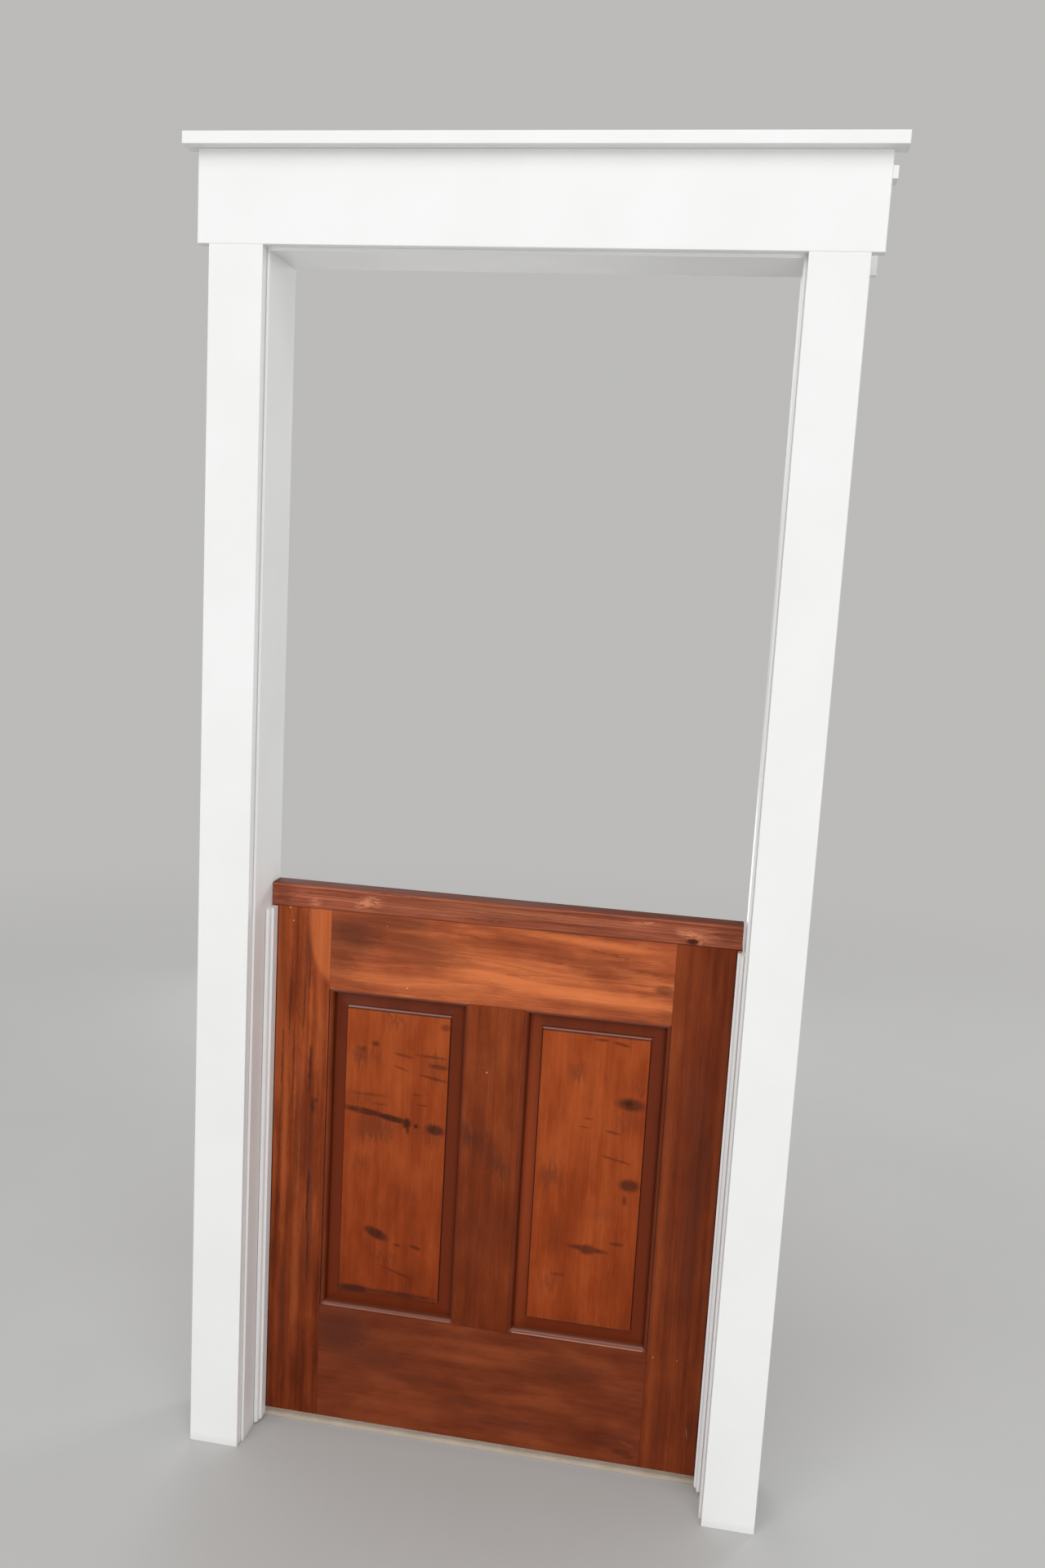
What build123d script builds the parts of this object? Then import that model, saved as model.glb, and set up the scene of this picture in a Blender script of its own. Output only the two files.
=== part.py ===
from build123d import *
import os

os.makedirs("parts", exist_ok=True)

# Lower leaf of a stable door, stained pine, hung in a white painted door frame.
# Seen from the room it shuts against, X runs to the right, Y through the doorway and Z up.
# The origin is on the floor, in the middle of the doorway and of the wall's thickness.
# All sizes are in millimetres.

# Doorway and jambs
opening_width = 819.0
opening_height = 2050.0
jamb_depth = 116.0
jamb_thickness = 19.0
head_rabbet = 10.0

# Casings, the same on both faces of the wall
casing_width = 89.0
casing_thickness = 18.0
head_casing_height = 140.0
head_casing_overhang = 19.0
head_cap_height = 19.0
head_cap_overhang = 19.0
head_cap_projection = 38.0
painted_edge_round = 1.5

# Stop mouldings
stop_thickness = 11.0
stop_nose_radius = 5.5
stop_land = 2.5
stop_cove_radius = 4.0
stop_flat = 19.5
stop_to_leaf = 0.5
stop_to_cap = 2.0
left_stop_foot = 4.0
right_stop_foot = 12.0

# Splinters that hang from the torn foot of the right stop
long_splinter = 9.0
short_splinter = 6.0
splinter_root = 3.0
splinter_width = 2.2
splinter_tip = 0.3

# Threshold strip
strip_width = 44.0
strip_thickness = 3.5
strip_edge_round = 1.0

# Leaf
leaf_thickness = 35.0
leaf_height = 964.0
floor_gap = 17.0
latch_gap = 3.5
stile_width = 107.0
top_rail_width = 143.0
bottom_rail_width = 220.0
muntin_width = 98.0

# Moulding and groove run along every panel edge
sticking_width = 7.5
sticking_step = 1.2
groove_width = 6.5
groove_depth = 10.0

# Raised and fielded panels
panel_thickness = 19.0
panel_tongue = 6.0
panel_float = 1.5
panel_rim_flat = 2.0
field_margin = 32.5
field_step = 3.0
field_edge_round = 0.8

# Cap rail
cap_height = 40.0
cap_depth = 38.0
cap_front_overhang = 1.0
cap_left_gap = 1.5
cap_right_gap = 4.5
cap_edge_round = 2.0

# Dowels
dowel_radius = 6.0
dowel_length = 76.0
dowel_end_room = 1.0
dowel_inset = 36.0
bottom_rail_dowels = 3
top_rail_dowels = 2
cap_dowel_radius = 4.0
cap_dowel_length = 44.0
cap_dowel_count = 4
cap_dowel_inset = 60.0

# Butt hinges
hinge_height = 89.0
hinge_bottom_inset = 150.0
hinge_top_inset = 115.0
hinge_plate_thickness = 2.0
hinge_plate_reach = 30.0
hinge_plate_sink = 0.9
hinge_plate_spacing = 0.3
hinge_plate_corner = 6.0
hinge_pin_offset = 8.0
hinge_pin_radius = 3.0
hinge_pin_head = 4.6
hinge_pin_head_height = 2.4
hinge_barrel_radius = 5.5
hinge_barrel_to_casing = 0.75
hinge_knuckles = 5
knuckle_spacing = 0.3
knuckle_clearance = 0.4
pin_running_clearance = 0.08
hinge_screw_rows = 3
hinge_screw_inset = 14.0
hinge_screw_stagger = 4.0

# Countersunk screws
hinge_screw_head = 4.0
hinge_screw_shank = 2.0
hinge_screw_length = 17.0
bolt_screw_head = 3.4
bolt_screw_shank = 1.6
bolt_screw_length = 13.0
screw_point = 3.5
recess_width = 0.9
recess_depth = 1.2

# Slide bolt on the far face of the leaf
bolt_radius = 4.0
bolt_axis_height = 8.0
bolt_travel = 20.0
bolt_tip_setback = 2.0
bolt_length = 96.0
bolt_below_top = 70.0
bolt_clearance = 0.3
bolt_bevel = 1.5
bolt_plate_length = 86.0
bolt_plate_width = 34.0
bolt_plate_thickness = 1.6
bolt_plate_setback = 6.0
bolt_plate_corner = 4.0
guide_length = 12.0
guide_wall = 2.2
guide_inset = 6.0
bolt_screw_inset = 5.0
knob_stem_radius = 2.5
knob_radius = 6.0
knob_reach = 17.0
knob_seat = 2.0
knob_to_guide = 3.0

# Keeper for the bolt, on the inner edge of the far casing
keeper_length = 46.0
keeper_width = 15.0
keeper_thickness = 1.5
keeper_corner = 3.0
keeper_hole_clearance = 1.0
keeper_screw_inset = 7.0
keeper_hole_room = 3.0

# How far a cutting body runs past the face that it goes through
cut_past = 1.0

# Places that follow from the sizes above
jamb_face = opening_width / 2
jamb_back = jamb_face + jamb_thickness
wall_face = jamb_depth / 2
hinge_gap = 2 * (hinge_plate_thickness - hinge_plate_sink) + hinge_plate_spacing
reveal = hinge_barrel_radius + hinge_barrel_to_casing - hinge_gap / 2
casing_inner = jamb_face + reveal
casing_outer = casing_inner + casing_width
casing_top = opening_height + reveal
head_casing_end = casing_outer + head_casing_overhang
head_casing_top = casing_top + head_casing_height

leaf_left = -jamb_face + hinge_gap
leaf_right = jamb_face - latch_gap
leaf_back = wall_face
leaf_front = leaf_back - leaf_thickness
leaf_middle = (leaf_front + leaf_back) / 2
leaf_bottom = floor_gap
leaf_top = leaf_bottom + leaf_height
hinge_stile_arris = leaf_left + stile_width
lock_stile_arris = leaf_right - stile_width
muntin_centre = (hinge_stile_arris + lock_stile_arris) / 2
top_rail_arris = leaf_top - top_rail_width
bottom_rail_arris = leaf_bottom + bottom_rail_width

stop_nose_face = stop_thickness - stop_cove_radius
stop_cove_end = stop_nose_radius + stop_land + stop_cove_radius
stop_width = stop_cove_end + stop_flat
stop_back = leaf_front - stop_to_leaf
stop_front = stop_back - stop_width
stop_top = leaf_top - stop_to_cap

pin_x = -jamb_face + hinge_gap / 2
pin_y = leaf_back + hinge_pin_offset
lower_hinge_z = leaf_bottom + hinge_bottom_inset
upper_hinge_z = leaf_top - hinge_top_inset - hinge_height

bolt_y = leaf_back + bolt_axis_height
bolt_z = leaf_top - bolt_below_top
bolt_tip = leaf_right - bolt_tip_setback
bolt_plate_right = leaf_right - bolt_plate_setback
bolt_plate_left = bolt_plate_right - bolt_plate_length
bolt_face = leaf_back + bolt_plate_thickness
keeper_face = casing_inner - keeper_thickness


def block(x0, x1, y0, y1, z0, z1):
    """A box between two corners."""
    centre = Pos((x0 + x1) / 2, (y0 + y1) / 2, (z0 + z1) / 2)
    return centre * Box(x1 - x0, y1 - y0, z1 - z0)


def rod(start, direction, radius, length):
    """A round bar from start along direction."""
    return extrude(Plane(start, z_dir=direction) * Circle(radius), length)


def mirror_x(shape):
    return mirror(shape, about=Plane.YZ)


def mirror_y(shape):
    return mirror(shape, about=Plane.XZ)


def front_edges(shape):
    """The edges that lie in a board's foremost face."""
    return shape.faces().sort_by(Axis.Y)[0].edges()


# Jambs and casings


def side_jamb():
    """Left jamb, with a rabbet across its top for the head jamb."""
    board = block(-jamb_back, -jamb_face, -wall_face, wall_face, 0, opening_height + jamb_thickness)
    rabbet = block(
        -jamb_face - head_rabbet, -jamb_face, -wall_face, wall_face,
        opening_height, opening_height + jamb_thickness,
    )
    return board - rabbet


def head_jamb():
    end = jamb_face + head_rabbet
    return block(-end, end, -wall_face, wall_face, opening_height, opening_height + jamb_thickness)


def side_casing():
    """Left casing on the near face of the wall, with its long front edges eased."""
    front = -wall_face - casing_thickness
    board = block(-casing_outer, -casing_inner, front, -wall_face, 0, casing_top)
    return fillet(front_edges(board).filter_by(Axis.Z), painted_edge_round)


def head_casing():
    front = -wall_face - casing_thickness
    board = block(-head_casing_end, head_casing_end, front, -wall_face, casing_top, head_casing_top)
    return fillet(front_edges(board), painted_edge_round)


def head_cap():
    """Flat board that lies on the head casing and stands out past it on three sides."""
    end = head_casing_end + head_cap_overhang
    front = -wall_face - head_cap_projection
    top = head_casing_top + head_cap_height
    board = block(-end, end, front, -wall_face, head_casing_top, top)
    return fillet(front_edges(board), painted_edge_round)


# Stop mouldings


def stop_section():
    """Plan of the left stop: flat behind, then a cove, a land and a round nose in front."""
    nose_foot = stop_nose_face - stop_nose_radius
    land_end = stop_nose_radius + stop_land
    outline = [
        Line((0, 0), (nose_foot, 0)),
        CenterArc((nose_foot, stop_nose_radius), stop_nose_radius, -90, 90),
        Line((stop_nose_face, stop_nose_radius), (stop_nose_face, land_end)),
        CenterArc((stop_thickness, land_end), stop_cove_radius, 180, -90),
        Line((stop_thickness, stop_cove_end), (stop_thickness, stop_width)),
        Line((stop_thickness, stop_width), (0, stop_width)),
        Line((0, stop_width), (0, 0)),
    ]
    return make_face(outline)


def stop(foot):
    section = Pos(-jamb_face, stop_front, foot) * stop_section()
    return extrude(section, stop_top - foot)


def splinter(inward, back, length):
    """A tapered splinter with its root in the right stop, placed from the jamb and the front."""
    place = Pos(jamb_face - inward, stop_front + back, right_stop_foot)
    root = Pos(0, 0, splinter_root) * Rectangle(splinter_width, splinter_width)
    tip = Pos(0, 0, -length) * Rectangle(splinter_tip, splinter_tip)
    return place * loft([tip, root])


def right_stop():
    """The right stop ends above the floor, with one splinter under its nose and one behind."""
    long = splinter(stop_nose_face - splinter_width, stop_nose_radius, long_splinter)
    short = splinter(stop_thickness - splinter_width, stop_cove_end + splinter_width, short_splinter)
    return mirror_x(stop(right_stop_foot)) + long + short


def threshold_strip():
    back = stop_back + strip_width
    strip = block(-jamb_face, jamb_face, stop_back, back, 0, strip_thickness)
    upper = strip.faces().sort_by(Axis.Z)[-1].edges().filter_by(Axis.X)
    return fillet(upper, strip_edge_round)


# Leaf: framing members with a moulded and grooved edge


def moulded_edge():
    """Ovolo on both faces of a member, from the arris at 0 to the lip of the groove."""
    shoulder = leaf_thickness / 2 - sticking_step
    spring = shoulder - sticking_width
    half = make_face([
        Line((0, 0), (0, shoulder)),
        CenterArc((0, spring), sticking_width, 90, -90),
        Line((sticking_width, spring), (sticking_width, 0)),
        Line((sticking_width, 0), (0, 0)),
    ])
    groove = Pos(sticking_width - groove_depth / 2, 0) * Rectangle(groove_depth, groove_width)
    return half + mirror_y(half), groove


def member_section(width, edges):
    """Section of a member: width between arrises, moulded on one edge or on both."""
    moulding, groove = moulded_edge()
    section = Pos(width / 2, 0) * Rectangle(width, leaf_thickness)
    section += Pos(width, 0) * moulding
    section -= Pos(width, 0) * groove
    if edges == 2:
        section += mirror_x(moulding)
        section -= mirror_x(groove)
    return section


def stile():
    """Hinge stile, full height of the leaf."""
    plan = Pos(leaf_left, leaf_middle, leaf_bottom) * member_section(stile_width, 1)
    return extrude(plan, leaf_height)


def rail(low_edge, width, moulding_up, stiles):
    """A rail, coped over the moulding of both stiles, with a tongue in their grooves."""
    left = hinge_stile_arris + sticking_width - groove_depth
    right = lock_stile_arris - sticking_width + groove_depth
    section = member_section(width, 1)
    if not moulding_up:
        section = Pos(width, 0) * mirror_x(section)
    end = Plane((right, leaf_middle, low_edge), x_dir=(0, 0, 1), z_dir=(-1, 0, 0))
    return extrude(end * section, right - left) - stiles


def muntin(rails):
    """The upright between the panels, tongued into both rails."""
    low = bottom_rail_arris + sticking_width - groove_depth
    high = top_rail_arris - sticking_width + groove_depth
    plan = Pos(muntin_centre - muntin_width / 2, leaf_middle, low) * member_section(muntin_width, 2)
    return extrude(plan, high - low) - rails


def panel_half(lip_0, lip_1, rim_0):
    """Half section of a panel: tongue, bevel, cove, then the rounded step up to the field."""
    tongue = panel_tongue / 2
    field = panel_thickness / 2
    ledge = field - field_step
    cove = field_step - field_edge_round
    middle = (lip_0 + lip_1) / 2
    rim = middle - rim_0
    bevel_start = middle - lip_0 - panel_rim_flat
    field_half = middle - lip_0 - field_margin + sticking_width
    quarter = make_face([
        Line((0, 0), (rim, 0)),
        Line((rim, 0), (rim, tongue)),
        Line((rim, tongue), (bevel_start, tongue)),
        Line((bevel_start, tongue), (field_half + cove, ledge)),
        CenterArc((field_half + cove, ledge + cove), cove, -90, -90),
        CenterArc((field_half - field_edge_round, field - field_edge_round), field_edge_round, 0, 90),
        Line((field_half - field_edge_round, field), (0, field)),
        Line((0, field), (0, 0)),
    ])
    return Pos(middle, 0) * (quarter + mirror_x(quarter))


def panel_section(lip_0, lip_1, rim_0):
    half = panel_half(lip_0, lip_1, rim_0)
    return half + mirror_y(half)


def panel(arris_0, arris_1):
    """A panel between two upright arrises. Two crossed extrusions give its mitred bevels."""
    x_lip = (arris_0 + sticking_width, arris_1 - sticking_width)
    z_lip = (bottom_rail_arris + sticking_width, top_rail_arris - sticking_width)
    tongue_reach = groove_depth - panel_float
    x_rim = (x_lip[0] - tongue_reach, x_lip[1] + tongue_reach)
    z_rim = (z_lip[0] - tongue_reach, z_lip[1] + tongue_reach)
    plan = Pos(0, leaf_middle, z_rim[0]) * panel_section(*x_lip, x_rim[0])
    upright = extrude(plan, z_rim[1] - z_rim[0])
    end = Plane((x_rim[1], leaf_middle, 0), x_dir=(0, 0, 1), z_dir=(-1, 0, 0))
    across = extrude(end * panel_section(*z_lip, z_rim[0]), x_rim[1] - x_rim[0])
    return upright & across


def cap_rail():
    front = leaf_front - cap_front_overhang
    left = -jamb_face + cap_left_gap
    right = jamb_face - cap_right_gap
    board = block(left, right, front, front + cap_depth, leaf_top, leaf_top + cap_height)
    return fillet(board.edges().filter_by(Axis.X), cap_edge_round)


# Dowels


def evenly(start, end, count):
    step = (end - start) / (count - 1)
    return [start + step * number for number in range(count)]


def rail_dowels(radius, length):
    """Dowels across the four joints between rails and stiles."""
    bottom = evenly(leaf_bottom + dowel_inset, bottom_rail_arris - dowel_inset, bottom_rail_dowels)
    top = evenly(top_rail_arris + dowel_inset, leaf_top - dowel_inset, top_rail_dowels)
    group = []
    for joint in (hinge_stile_arris, lock_stile_arris):
        for height in bottom + top:
            start = (joint - length / 2, leaf_middle, height)
            group.append(rod(start, (1, 0, 0), radius, length))
    return group


def cap_dowels(radius, length):
    group = []
    for x in evenly(leaf_left + cap_dowel_inset, leaf_right - cap_dowel_inset, cap_dowel_count):
        start = (x, leaf_middle, leaf_top - length / 2)
        group.append(rod(start, (0, 0, 1), radius, length))
    return group


# Screws


def screw(place, direction, head, shank, length):
    """A countersunk screw whose flat head is level with its place."""
    sink = head - shank
    outline = Polyline(
        (0, 0), (head, 0), (shank, sink), (shank, length - screw_point), (0, length), (0, 0),
    )
    body = revolve(Plane.XZ * make_face(outline), Axis.Z)
    recess = Box(recess_width, 2 * shank, 2 * recess_depth) + Box(2 * shank, recess_width, 2 * recess_depth)
    seat = Plane(place, z_dir=direction)
    return seat * (body - recess), seat * body


def screws(places, direction, head, shank, length):
    """A set of like screws, and the plain bodies that cut their holes."""
    made = [screw(place, direction, head, shank, length) for place in places]
    return [pair[0] for pair in made], [pair[1] for pair in made]


def cut_all(shape, cutters):
    for cutter in cutters:
        shape -= cutter
    return shape


# Butt hinges


def knuckle_span(number, low):
    """Lower and upper end of one knuckle, counted from the foot of the hinge."""
    length = (hinge_height - (hinge_knuckles - 1) * knuckle_spacing) / hinge_knuckles
    start = low + number * (length + knuckle_spacing)
    return start, start + length


def hinge_blank(side, low):
    """Flat of a hinge plate. Side -1 lies on the jamb and side 1 on the leaf."""
    near = pin_x + side * hinge_plate_spacing / 2
    far = near + side * hinge_plate_thickness
    plate = block(
        min(near, far), max(near, far), leaf_back - hinge_plate_reach, pin_y, low, low + hinge_height,
    )
    corners = plate.faces().sort_by(Axis.Y)[0].edges().filter_by(Axis.X)
    return fillet(corners, hinge_plate_corner)


def hinge_plate(side, low, screw_bodies):
    """A plate with its own knuckles, cut back round the knuckles of the other plate."""
    own = 0 if side < 0 else 1
    plate = hinge_blank(side, low)
    for number in range(hinge_knuckles):
        start, end = knuckle_span(number, low)
        if number % 2 == own:
            plate += rod((pin_x, pin_y, start), (0, 0, 1), hinge_barrel_radius, end - start)
        else:
            room = hinge_barrel_radius + knuckle_clearance
            lower = start - knuckle_spacing
            upper = end + knuckle_spacing
            plate -= rod((pin_x, pin_y, lower), (0, 0, 1), room, upper - lower)
    bore = hinge_pin_radius + (pin_running_clearance if side > 0 else 0)
    plate -= rod((pin_x, pin_y, low - cut_past), (0, 0, 1), bore, hinge_height + 2 * cut_past)
    return cut_all(plate, screw_bodies)


def hinge_pin(low):
    """A pin with a button head that rests on the top knuckle."""
    shaft = rod((pin_x, pin_y, low), (0, 0, 1), hinge_pin_radius, hinge_height)
    top = low + hinge_height
    button = rod((pin_x, pin_y, top), (0, 0, 1), hinge_pin_head, hinge_pin_head_height)
    button = fillet(button.edges().sort_by(Axis.Z)[-1], hinge_pin_head_height / 2)
    return shaft + button


def hinge_screw_places(side, low):
    """Three holes down a plate, the middle one set nearer to the pin."""
    face = pin_x + side * hinge_plate_spacing / 2
    places = []
    heights = evenly(low + hinge_screw_inset, low + hinge_height - hinge_screw_inset, hinge_screw_rows)
    for number, height in enumerate(heights):
        shift = hinge_screw_stagger if number % 2 else -hinge_screw_stagger
        places.append((face, leaf_back - hinge_plate_reach / 2 + shift, height))
    return places


# Slide bolt


def bolt_plate_screw_places():
    places = []
    for x in (bolt_plate_left + bolt_screw_inset, bolt_plate_right - bolt_screw_inset):
        for side in (-1, 1):
            height = bolt_z + side * (bolt_plate_width / 2 - bolt_screw_inset)
            places.append((x, bolt_face, height))
    return places


def guide_starts():
    left = bolt_plate_left + guide_inset + bolt_screw_inset
    right = bolt_plate_right - guide_inset - bolt_screw_inset - guide_length
    return left, right


def bolt_plate(screw_bodies):
    """Back plate with two arched guides for the bar."""
    half_width = bolt_plate_width / 2
    plate = block(
        bolt_plate_left, bolt_plate_right, leaf_back, bolt_face, bolt_z - half_width, bolt_z + half_width,
    )
    plate = fillet(plate.edges().filter_by(Axis.Y), bolt_plate_corner)
    bore = bolt_radius + bolt_clearance
    outer = bore + guide_wall
    for start in guide_starts():
        arch = rod((start, bolt_y, bolt_z), (1, 0, 0), outer, guide_length)
        foot = block(start, start + guide_length, bolt_face, bolt_y, bolt_z - outer, bolt_z + outer)
        plate += arch + foot
        mouth = (start - cut_past, bolt_y, bolt_z)
        plate -= rod(mouth, (1, 0, 0), bore, guide_length + 2 * cut_past)
    return cut_all(plate, screw_bodies)


def knob_x():
    """The knob stands just clear of the left guide while the bolt is drawn."""
    return guide_starts()[0] + guide_length + knob_to_guide + knob_radius


def bolt_knob():
    """Ball knob on a stem that is driven into the bar."""
    x = knob_x()
    foot = bolt_y + bolt_radius - knob_seat
    stem = rod((x, foot, bolt_z), (0, 1, 0), knob_stem_radius, bolt_y + knob_reach - foot)
    return stem + Pos(x, bolt_y + knob_reach, bolt_z) * Sphere(knob_radius)


def bolt_bar():
    """Round bar with bevelled ends and a socket for the knob's stem."""
    bar = rod((bolt_tip - bolt_length, bolt_y, bolt_z), (1, 0, 0), bolt_radius, bolt_length)
    bar = chamfer(bar.edges(), bolt_bevel)
    foot = bolt_y + bolt_radius - knob_seat
    return bar - rod((knob_x(), foot, bolt_z), (0, 1, 0), knob_stem_radius, bolt_radius)


def keeper_middle():
    return wall_face + casing_thickness / 2


def keeper_screw_places():
    offset = keeper_length / 2 - keeper_screw_inset
    return [(keeper_face, keeper_middle(), bolt_z + side * offset) for side in (-1, 1)]


def bolt_mortise():
    """The square pocket that the bolt shoots into, through the keeper and into the casing."""
    half = bolt_radius + keeper_hole_clearance
    bottom = bolt_tip + bolt_travel + keeper_hole_room
    return block(
        keeper_face - cut_past, bottom, bolt_y - half, bolt_y + half, bolt_z - half, bolt_z + half,
    )


def keeper(screw_bodies):
    half = keeper_length / 2
    middle = keeper_middle()
    plate = block(
        keeper_face, casing_inner, middle - keeper_width / 2, middle + keeper_width / 2,
        bolt_z - half, bolt_z + half,
    )
    plate = fillet(plate.edges().filter_by(Axis.X), keeper_corner)
    return cut_all(plate - bolt_mortise(), screw_bodies)


# Fasteners, made first because their bodies cut the holes

frame_screws, frame_holes = [], []
leaf_screws, leaf_holes = [], []
for low in (lower_hinge_z, upper_hinge_z):
    made, holes = screws(
        hinge_screw_places(-1, low), (-1, 0, 0), hinge_screw_head, hinge_screw_shank, hinge_screw_length,
    )
    frame_screws += made
    frame_holes += holes
    made, holes = screws(
        hinge_screw_places(1, low), (1, 0, 0), hinge_screw_head, hinge_screw_shank, hinge_screw_length,
    )
    leaf_screws += made
    leaf_holes += holes
plate_screws, plate_holes = screws(
    bolt_plate_screw_places(), (0, -1, 0), bolt_screw_head, bolt_screw_shank, bolt_screw_length,
)
keeper_screws, keeper_holes = screws(
    keeper_screw_places(), (1, 0, 0), bolt_screw_head, bolt_screw_shank, bolt_screw_length,
)

# Frame

parts = {}
frame_gains = [hinge_blank(-1, low) for low in (lower_hinge_z, upper_hinge_z)]
parts["left_jamb"] = cut_all(side_jamb(), frame_gains + frame_holes)
parts["right_jamb"] = mirror_x(side_jamb())
parts["head_jamb"] = head_jamb()
parts["front_left_casing"] = side_casing()
parts["front_right_casing"] = mirror_x(side_casing())
parts["front_head_casing"] = head_casing()
parts["front_head_cap"] = head_cap()
parts["rear_left_casing"] = mirror_y(side_casing())
rear_right = mirror_x(mirror_y(side_casing())) - bolt_mortise()
parts["rear_right_casing"] = cut_all(rear_right, keeper_holes)
parts["rear_head_casing"] = mirror_y(head_casing())
parts["rear_head_cap"] = mirror_y(head_cap())
parts["left_stop"] = stop(left_stop_foot)
parts["right_stop"] = right_stop()
parts["threshold_strip"] = threshold_strip()
parts["bolt_keeper"] = keeper(keeper_holes)
parts["keeper_screws"] = Compound(keeper_screws)
parts["hinge_frame_screws"] = Compound(frame_screws)

# Leaf

hinge_stile = stile()
lock_stile = Pos(leaf_left + leaf_right, 0, 0) * mirror_x(stile())
stiles = hinge_stile + lock_stile
top_rail = rail(top_rail_arris, top_rail_width, False, stiles)
bottom_rail = rail(leaf_bottom, bottom_rail_width, True, stiles)
dowel_holes = rail_dowels(dowel_radius, dowel_length + 2 * dowel_end_room)
cap_holes = cap_dowels(cap_dowel_radius, cap_dowel_length + 2 * dowel_end_room)
leaf_gains = [hinge_blank(1, low) for low in (lower_hinge_z, upper_hinge_z)]
half_muntin = muntin_width / 2

parts["muntin"] = muntin(top_rail + bottom_rail)
parts["hinge_stile"] = cut_all(hinge_stile, dowel_holes + cap_holes + leaf_gains + leaf_holes)
parts["lock_stile"] = cut_all(lock_stile, dowel_holes + cap_holes + plate_holes)
parts["top_rail"] = cut_all(top_rail, dowel_holes + cap_holes)
parts["bottom_rail"] = cut_all(bottom_rail, dowel_holes)
parts["left_panel"] = panel(hinge_stile_arris, muntin_centre - half_muntin)
parts["right_panel"] = panel(muntin_centre + half_muntin, lock_stile_arris)
parts["cap_rail"] = cut_all(cap_rail(), cap_holes)
parts["rail_dowels"] = Compound(rail_dowels(dowel_radius, dowel_length))
parts["cap_dowels"] = Compound(cap_dowels(cap_dowel_radius, cap_dowel_length))
parts["hinge_leaf_screws"] = Compound(leaf_screws)
parts["bolt_plate"] = bolt_plate(plate_holes)
parts["bolt_plate_screws"] = Compound(plate_screws)

# Hinges

for name, low in (("lower", lower_hinge_z), ("upper", upper_hinge_z)):
    parts[name + "_hinge_frame_plate"] = hinge_plate(-1, low, frame_holes)
    parts[name + "_hinge_leaf_plate"] = hinge_plate(1, low, leaf_holes)
    parts[name + "_hinge_pin"] = hinge_pin(low)

# Bolt

parts["bolt_bar"] = bolt_bar()
parts["bolt_knob"] = bolt_knob()

for name, shape in parts.items():
    export_step(shape, f"parts/{name}.step")
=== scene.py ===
# %% [markdown]
# # A stable door in its painted frame
# This lesson dresses a finished CAD model. The part is a white painted doorway with a half-height
# leaf of stained pine in it. The shapes are all real solids already: jambs, casings, stops, the
# framed and panelled leaf, its hinges and its bolt. What is missing is what the hand and the eye
# know: brush marks in the paint, grain and stain in the pine, plating on the steel, and light.
#
# Every length is in metres. X runs to the right, Y goes through the doorway and Z is up.

import math
import random

import bpy
from mathutils import Euler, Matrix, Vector


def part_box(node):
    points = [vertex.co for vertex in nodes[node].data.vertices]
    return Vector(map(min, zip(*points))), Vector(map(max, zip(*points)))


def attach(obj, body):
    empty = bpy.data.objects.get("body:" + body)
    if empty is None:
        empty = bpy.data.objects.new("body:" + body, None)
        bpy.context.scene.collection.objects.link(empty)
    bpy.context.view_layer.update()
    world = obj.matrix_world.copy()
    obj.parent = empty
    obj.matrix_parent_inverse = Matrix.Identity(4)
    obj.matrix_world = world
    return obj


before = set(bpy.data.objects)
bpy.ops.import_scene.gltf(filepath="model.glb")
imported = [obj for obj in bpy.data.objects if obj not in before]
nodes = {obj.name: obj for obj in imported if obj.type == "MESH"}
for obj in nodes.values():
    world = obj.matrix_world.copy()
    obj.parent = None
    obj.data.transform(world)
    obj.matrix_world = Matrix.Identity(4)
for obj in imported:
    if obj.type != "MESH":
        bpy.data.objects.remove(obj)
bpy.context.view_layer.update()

# %% [markdown]
# ## The camera
# A photograph taken by hand is seldom level. This one looks down a little, turns to the left and
# leans over by three degrees. Those numbers came from fitting a pinhole camera to the corners of
# the casings and of the leaf, whose real places are known. Blender's camera looks down its own -Z,
# so a tilt of 90 degrees about X would be level, and less than that looks down.

# %% Place the camera
EYE = Vector((0.36245, -2.06282, 1.56102))
TILT = Euler([math.radians(angle) for angle in (81.0474, -3.1254, 9.7448)])
LONG_SIDE = 36.0
LENS = 29.427
scene = bpy.context.scene


def make_camera():
    """A camera whose lens is given against the long, upright side of the picture."""
    data = bpy.data.cameras.new("photo_camera")
    data.sensor_fit = "VERTICAL"
    data.sensor_height = LONG_SIDE
    data.lens = LENS
    camera = bpy.data.objects.new("photo_camera", data)
    camera.location = EYE
    camera.rotation_euler = TILT
    scene.collection.objects.link(camera)
    return camera


scene.camera = make_camera()
scene.view_settings.view_transform = "Standard"
print("camera height:", round(EYE.z, 2), "m, lens:", LENS, "mm")

# %% [markdown]
# ## Small helpers for shader nodes
# A shader is a wiring diagram. Short helpers keep it readable: `feed` sets a socket or links it,
# `add` makes a node and feeds it, `sums` and `scaled` do arithmetic, `split` takes a vector
# apart, and `lay` puts a tone over a colour by a mask. Each of the later recipes is then a few
# lines that read from the input of an effect to its output.

# %% Node helpers


def feed(tree, socket, value):
    """Link the socket if the value is another socket, and set it otherwise."""
    if isinstance(value, bpy.types.NodeSocket):
        tree.links.new(value, socket)
    else:
        socket.default_value = value


def add(tree, kind, inputs=(), **settings):
    """Make one node. The inputs are pairs of a socket's name or number and its value."""
    node = tree.nodes.new(kind)
    for name, value in settings.items():
        setattr(node, name, value)
    for name, value in dict(inputs).items():
        feed(tree, node.inputs[name], value)
    return node


def sums(tree, operation, *values, clamp=False):
    """Arithmetic on numbers."""
    node = add(tree, "ShaderNodeMath", operation=operation, use_clamp=clamp)
    for socket, value in zip(node.inputs, values):
        feed(tree, socket, value)
    return node.outputs[0]


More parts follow.
